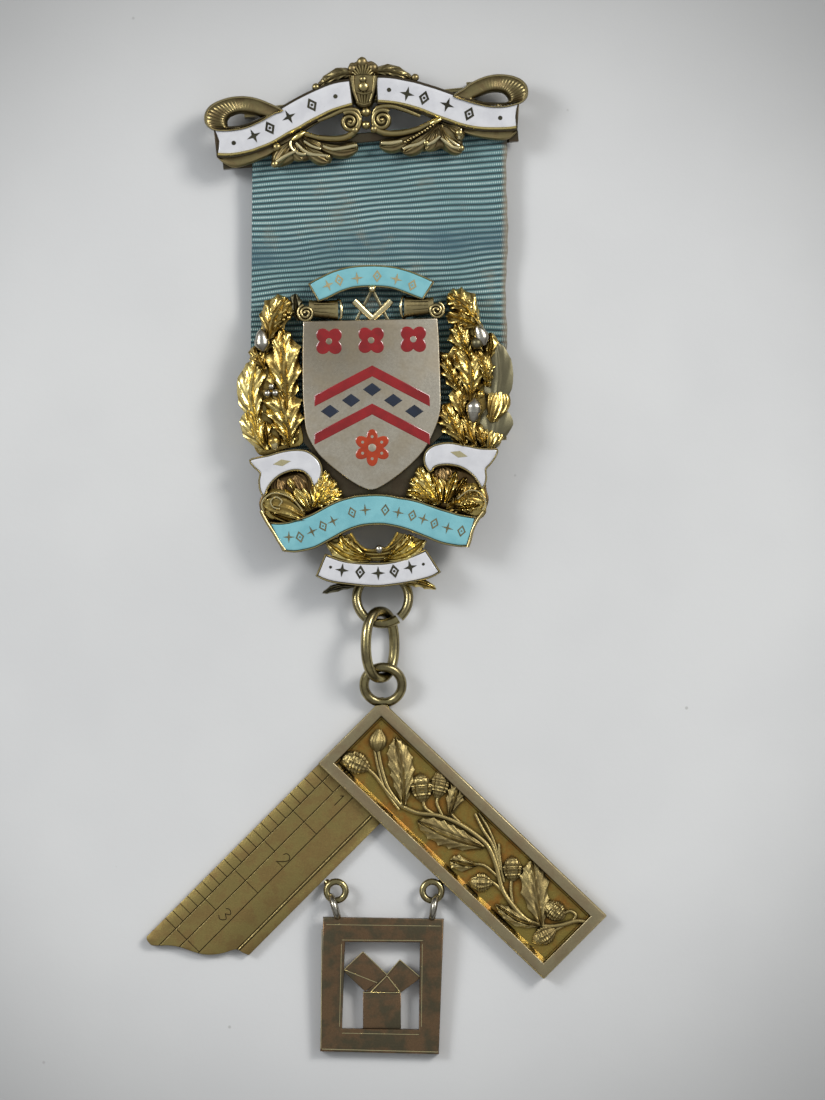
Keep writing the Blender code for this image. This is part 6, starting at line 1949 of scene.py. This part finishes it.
def make_plaque():
    """The pierced plaque with its figure of three squares, hung on two silver loops."""
    size, middle = size_of("plaque")
    low_y = middle[1] - size[1] / 2
    rise = 1.05
    thick = 1.5
    head = PLAQUE.at(*PLAQUE_HEAD)[1]

    def tilted(shape):
        points, faces = shape
        points = np.array(points)
        points[:, 2] += rise * np.clip((points[:, 1] - low_y) / (head - low_y), 0, 1)
        return points, faces

    body = Piece("plaque", "plaque_gilt", "pale_gilt", "loop_silver")
    corners = PLAQUE.all(PLAQUE_FRAME)
    window = PLAQUE.all(PLAQUE_WINDOW)
    body.add(tilted(plate(corners, 0.02, thick, bevel=0.14, holes=[window[::-1]], steps=4,
                          foot=0.1)))
    for k, shape in enumerate(FIGURE):
        body.add(tilted(plate(PLAQUE.all(shape), 0.25 + 0.03 * k, thick - 0.25 - 0.03 * k,
                              bevel=0.06)))
    for route in FIGURE_LINES:
        line = spaced(PLAQUE.all(route), 12)
        body.add(tilted(tube(lift(line, thick - 0.25), 0.075, 8)), "pale_gilt")
    # Painted highlights along the plaque's edges
    for route in PLAQUE_LINES:
        line = spaced(PLAQUE.all(route), 30)
        body.add(tilted(tube(lift(line, thick - 0.02), 0.06, 8)), "pale_gilt")
    for start, end in PLAQUE_LOOPS:
        near = PLAQUE.at(*start)
        far = PLAQUE.at(*end)
        heading = atan2(far[1] - near[1], far[0] - near[0])
        diameter = 3.6
        reach = (diameter - LOOP_WIRE) / 2
        centre = (far[0] - (reach + 0.05) * cos(heading), far[1] - (reach + 0.05) * sin(heading))
        body.add(ring((*centre, diameter / 2), diameter, LOOP_WIRE, heading=heading, sides=14,
                      steps=48), "loop_silver")
    body.finish("dark_gilt")


# Stage, in metres

PAPER_REACH = 1.5
LIGHT_SIZE = 0.26
CAMERA_DISTANCE = 0.9
# The height at which the photograph's scale was measured
FACE_HEIGHT = 2.5 * MM


def make_paper():
    """The plain sheet that the jewel lies on. Its colour is painted darker away from the middle, a
    painted falloff of the light.
    """
    mesh = bpy.data.meshes.new("paper")
    corners = rectangle(-PAPER_REACH, PAPER_REACH, -PAPER_REACH, PAPER_REACH)
    mesh.from_pydata([(*corner, 0) for corner in corners], [], [(0, 1, 2, 3)])
    paper = bpy.data.objects.new("paper", mesh)
    bpy.context.scene.collection.objects.link(paper)
    nodes, shader = new_material("paper")
    cloud = nodes.span(nodes.noise(30.0), 0.3, 0.7)
    base = nodes.mix(cloud, (0.535, 0.537, 0.535), (0.565, 0.567, 0.562))
    specks = nodes.put("ShaderNodeTexVoronoi", Vector=nodes.place(), Scale=1 / (9 * MM))
    speck = nodes.span(specks.outputs["Distance"], 0.012, 0.03, 0.45, 0.0)
    base = nodes.mix(speck, base, (0.2, 0.19, 0.17))
    # Painted light falloff: the paper's colour darkens away from the middle, as if a pool of light
    # lay under the jewel.
    corner = nodes.span(nodes.distance(), 0.05, 0.1, 0.0, 0.9)
    base = nodes.mix(corner, base, (0.225, 0.225, 0.223))
    nodes.set(shader, "Base Color", base)
    nodes.set(shader, "Roughness", 0.85)
    nodes.set(shader, "Normal", nodes.bump(nodes.noise(1.2, detail=4.0), 0.05, 0.4))
    mesh.materials.append(MATERIALS["paper"])


def make_lights():
    """Two soft lights from the upper right and the upper left."""
    for name, place, power, colour in (
        ("key", (0.55, 0.4, 0.62), 4.6, (1.0, 0.98, 0.95)),
        ("fill", (-0.6, 0.3, 0.6), 3.2, (0.95, 0.97, 1.0)),
    ):
        data = bpy.data.lights.new(name, "AREA")
        data.energy = power
        data.size = LIGHT_SIZE
        data.color = colour
        light = bpy.data.objects.new(name, data)
        light.location = place
        light.rotation_euler = (-Vector(place)).to_track_quat("-Z", "Y").to_euler()
        bpy.context.scene.collection.objects.link(light)


def make_camera():
    """The camera straight above, at the photograph's scale over the jewel's face."""
    data = bpy.data.cameras.new("camera")
    width, height = PHOTO_PIXELS
    data.sensor_width = 36
    data.lens = data.sensor_width * CAMERA_DISTANCE / (height / PIXELS_PER_MM * MM)
    data.clip_start = 0.01
    data.clip_end = 10
    camera = bpy.data.objects.new("camera", data)
    camera.location = ((width / 2 - ORIGIN_PIXEL[0]) / PIXELS_PER_MM * MM,
                       (ORIGIN_PIXEL[1] - height / 2) / PIXELS_PER_MM * MM,
                       CAMERA_DISTANCE + FACE_HEIGHT)
    bpy.context.scene.collection.objects.link(camera)
    bpy.context.scene.camera = camera
    bpy.context.scene.view_settings.view_transform = "Standard"


def make_world():
    """A soft room, dim at its sides, with two windows: the brighter one is at the upper right."""
    world = bpy.data.worlds.new("room")
    bpy.context.scene.world = world
    world.use_nodes = True
    nodes = Nodes(world.node_tree)
    background = world.node_tree.nodes["Background"]
    direction = nodes.put("ShaderNodeTexCoord").outputs["Generated"]
    parts = nodes.put("ShaderNodeSeparateXYZ", Vector=direction)
    height = parts.outputs["Z"]
    level = nodes.span(height, 0.1, 0.75, 0.08, 0.44)
    for heading, bright in (((0.62, 0.35, 0.70), 1.2), ((-0.72, 0.25, 0.65), 0.9)):
        toward = nodes.put("ShaderNodeVectorMath", {"operation": "DOT_PRODUCT"})
        nodes.set(toward, "0", direction)
        nodes.set(toward, "1", heading)
        window = nodes.span(toward.outputs["Value"], 0.88, 0.97, 0.0, bright)
        level = nodes.math("ADD", level, window)
    tint = nodes.mix(nodes.span(height, 0.3, 0.9), (1.0, 0.98, 0.95), (0.92, 0.96, 1.0))
    nodes.set(background, "Color", tint)
    nodes.set(background, "Strength", level)


make_materials()
make_paper()
make_world()
make_lights()
make_camera()
make_bar()
make_pin()
make_ribbon()
make_emblem()
make_shield()
make_rings()
make_square()
make_plaque()
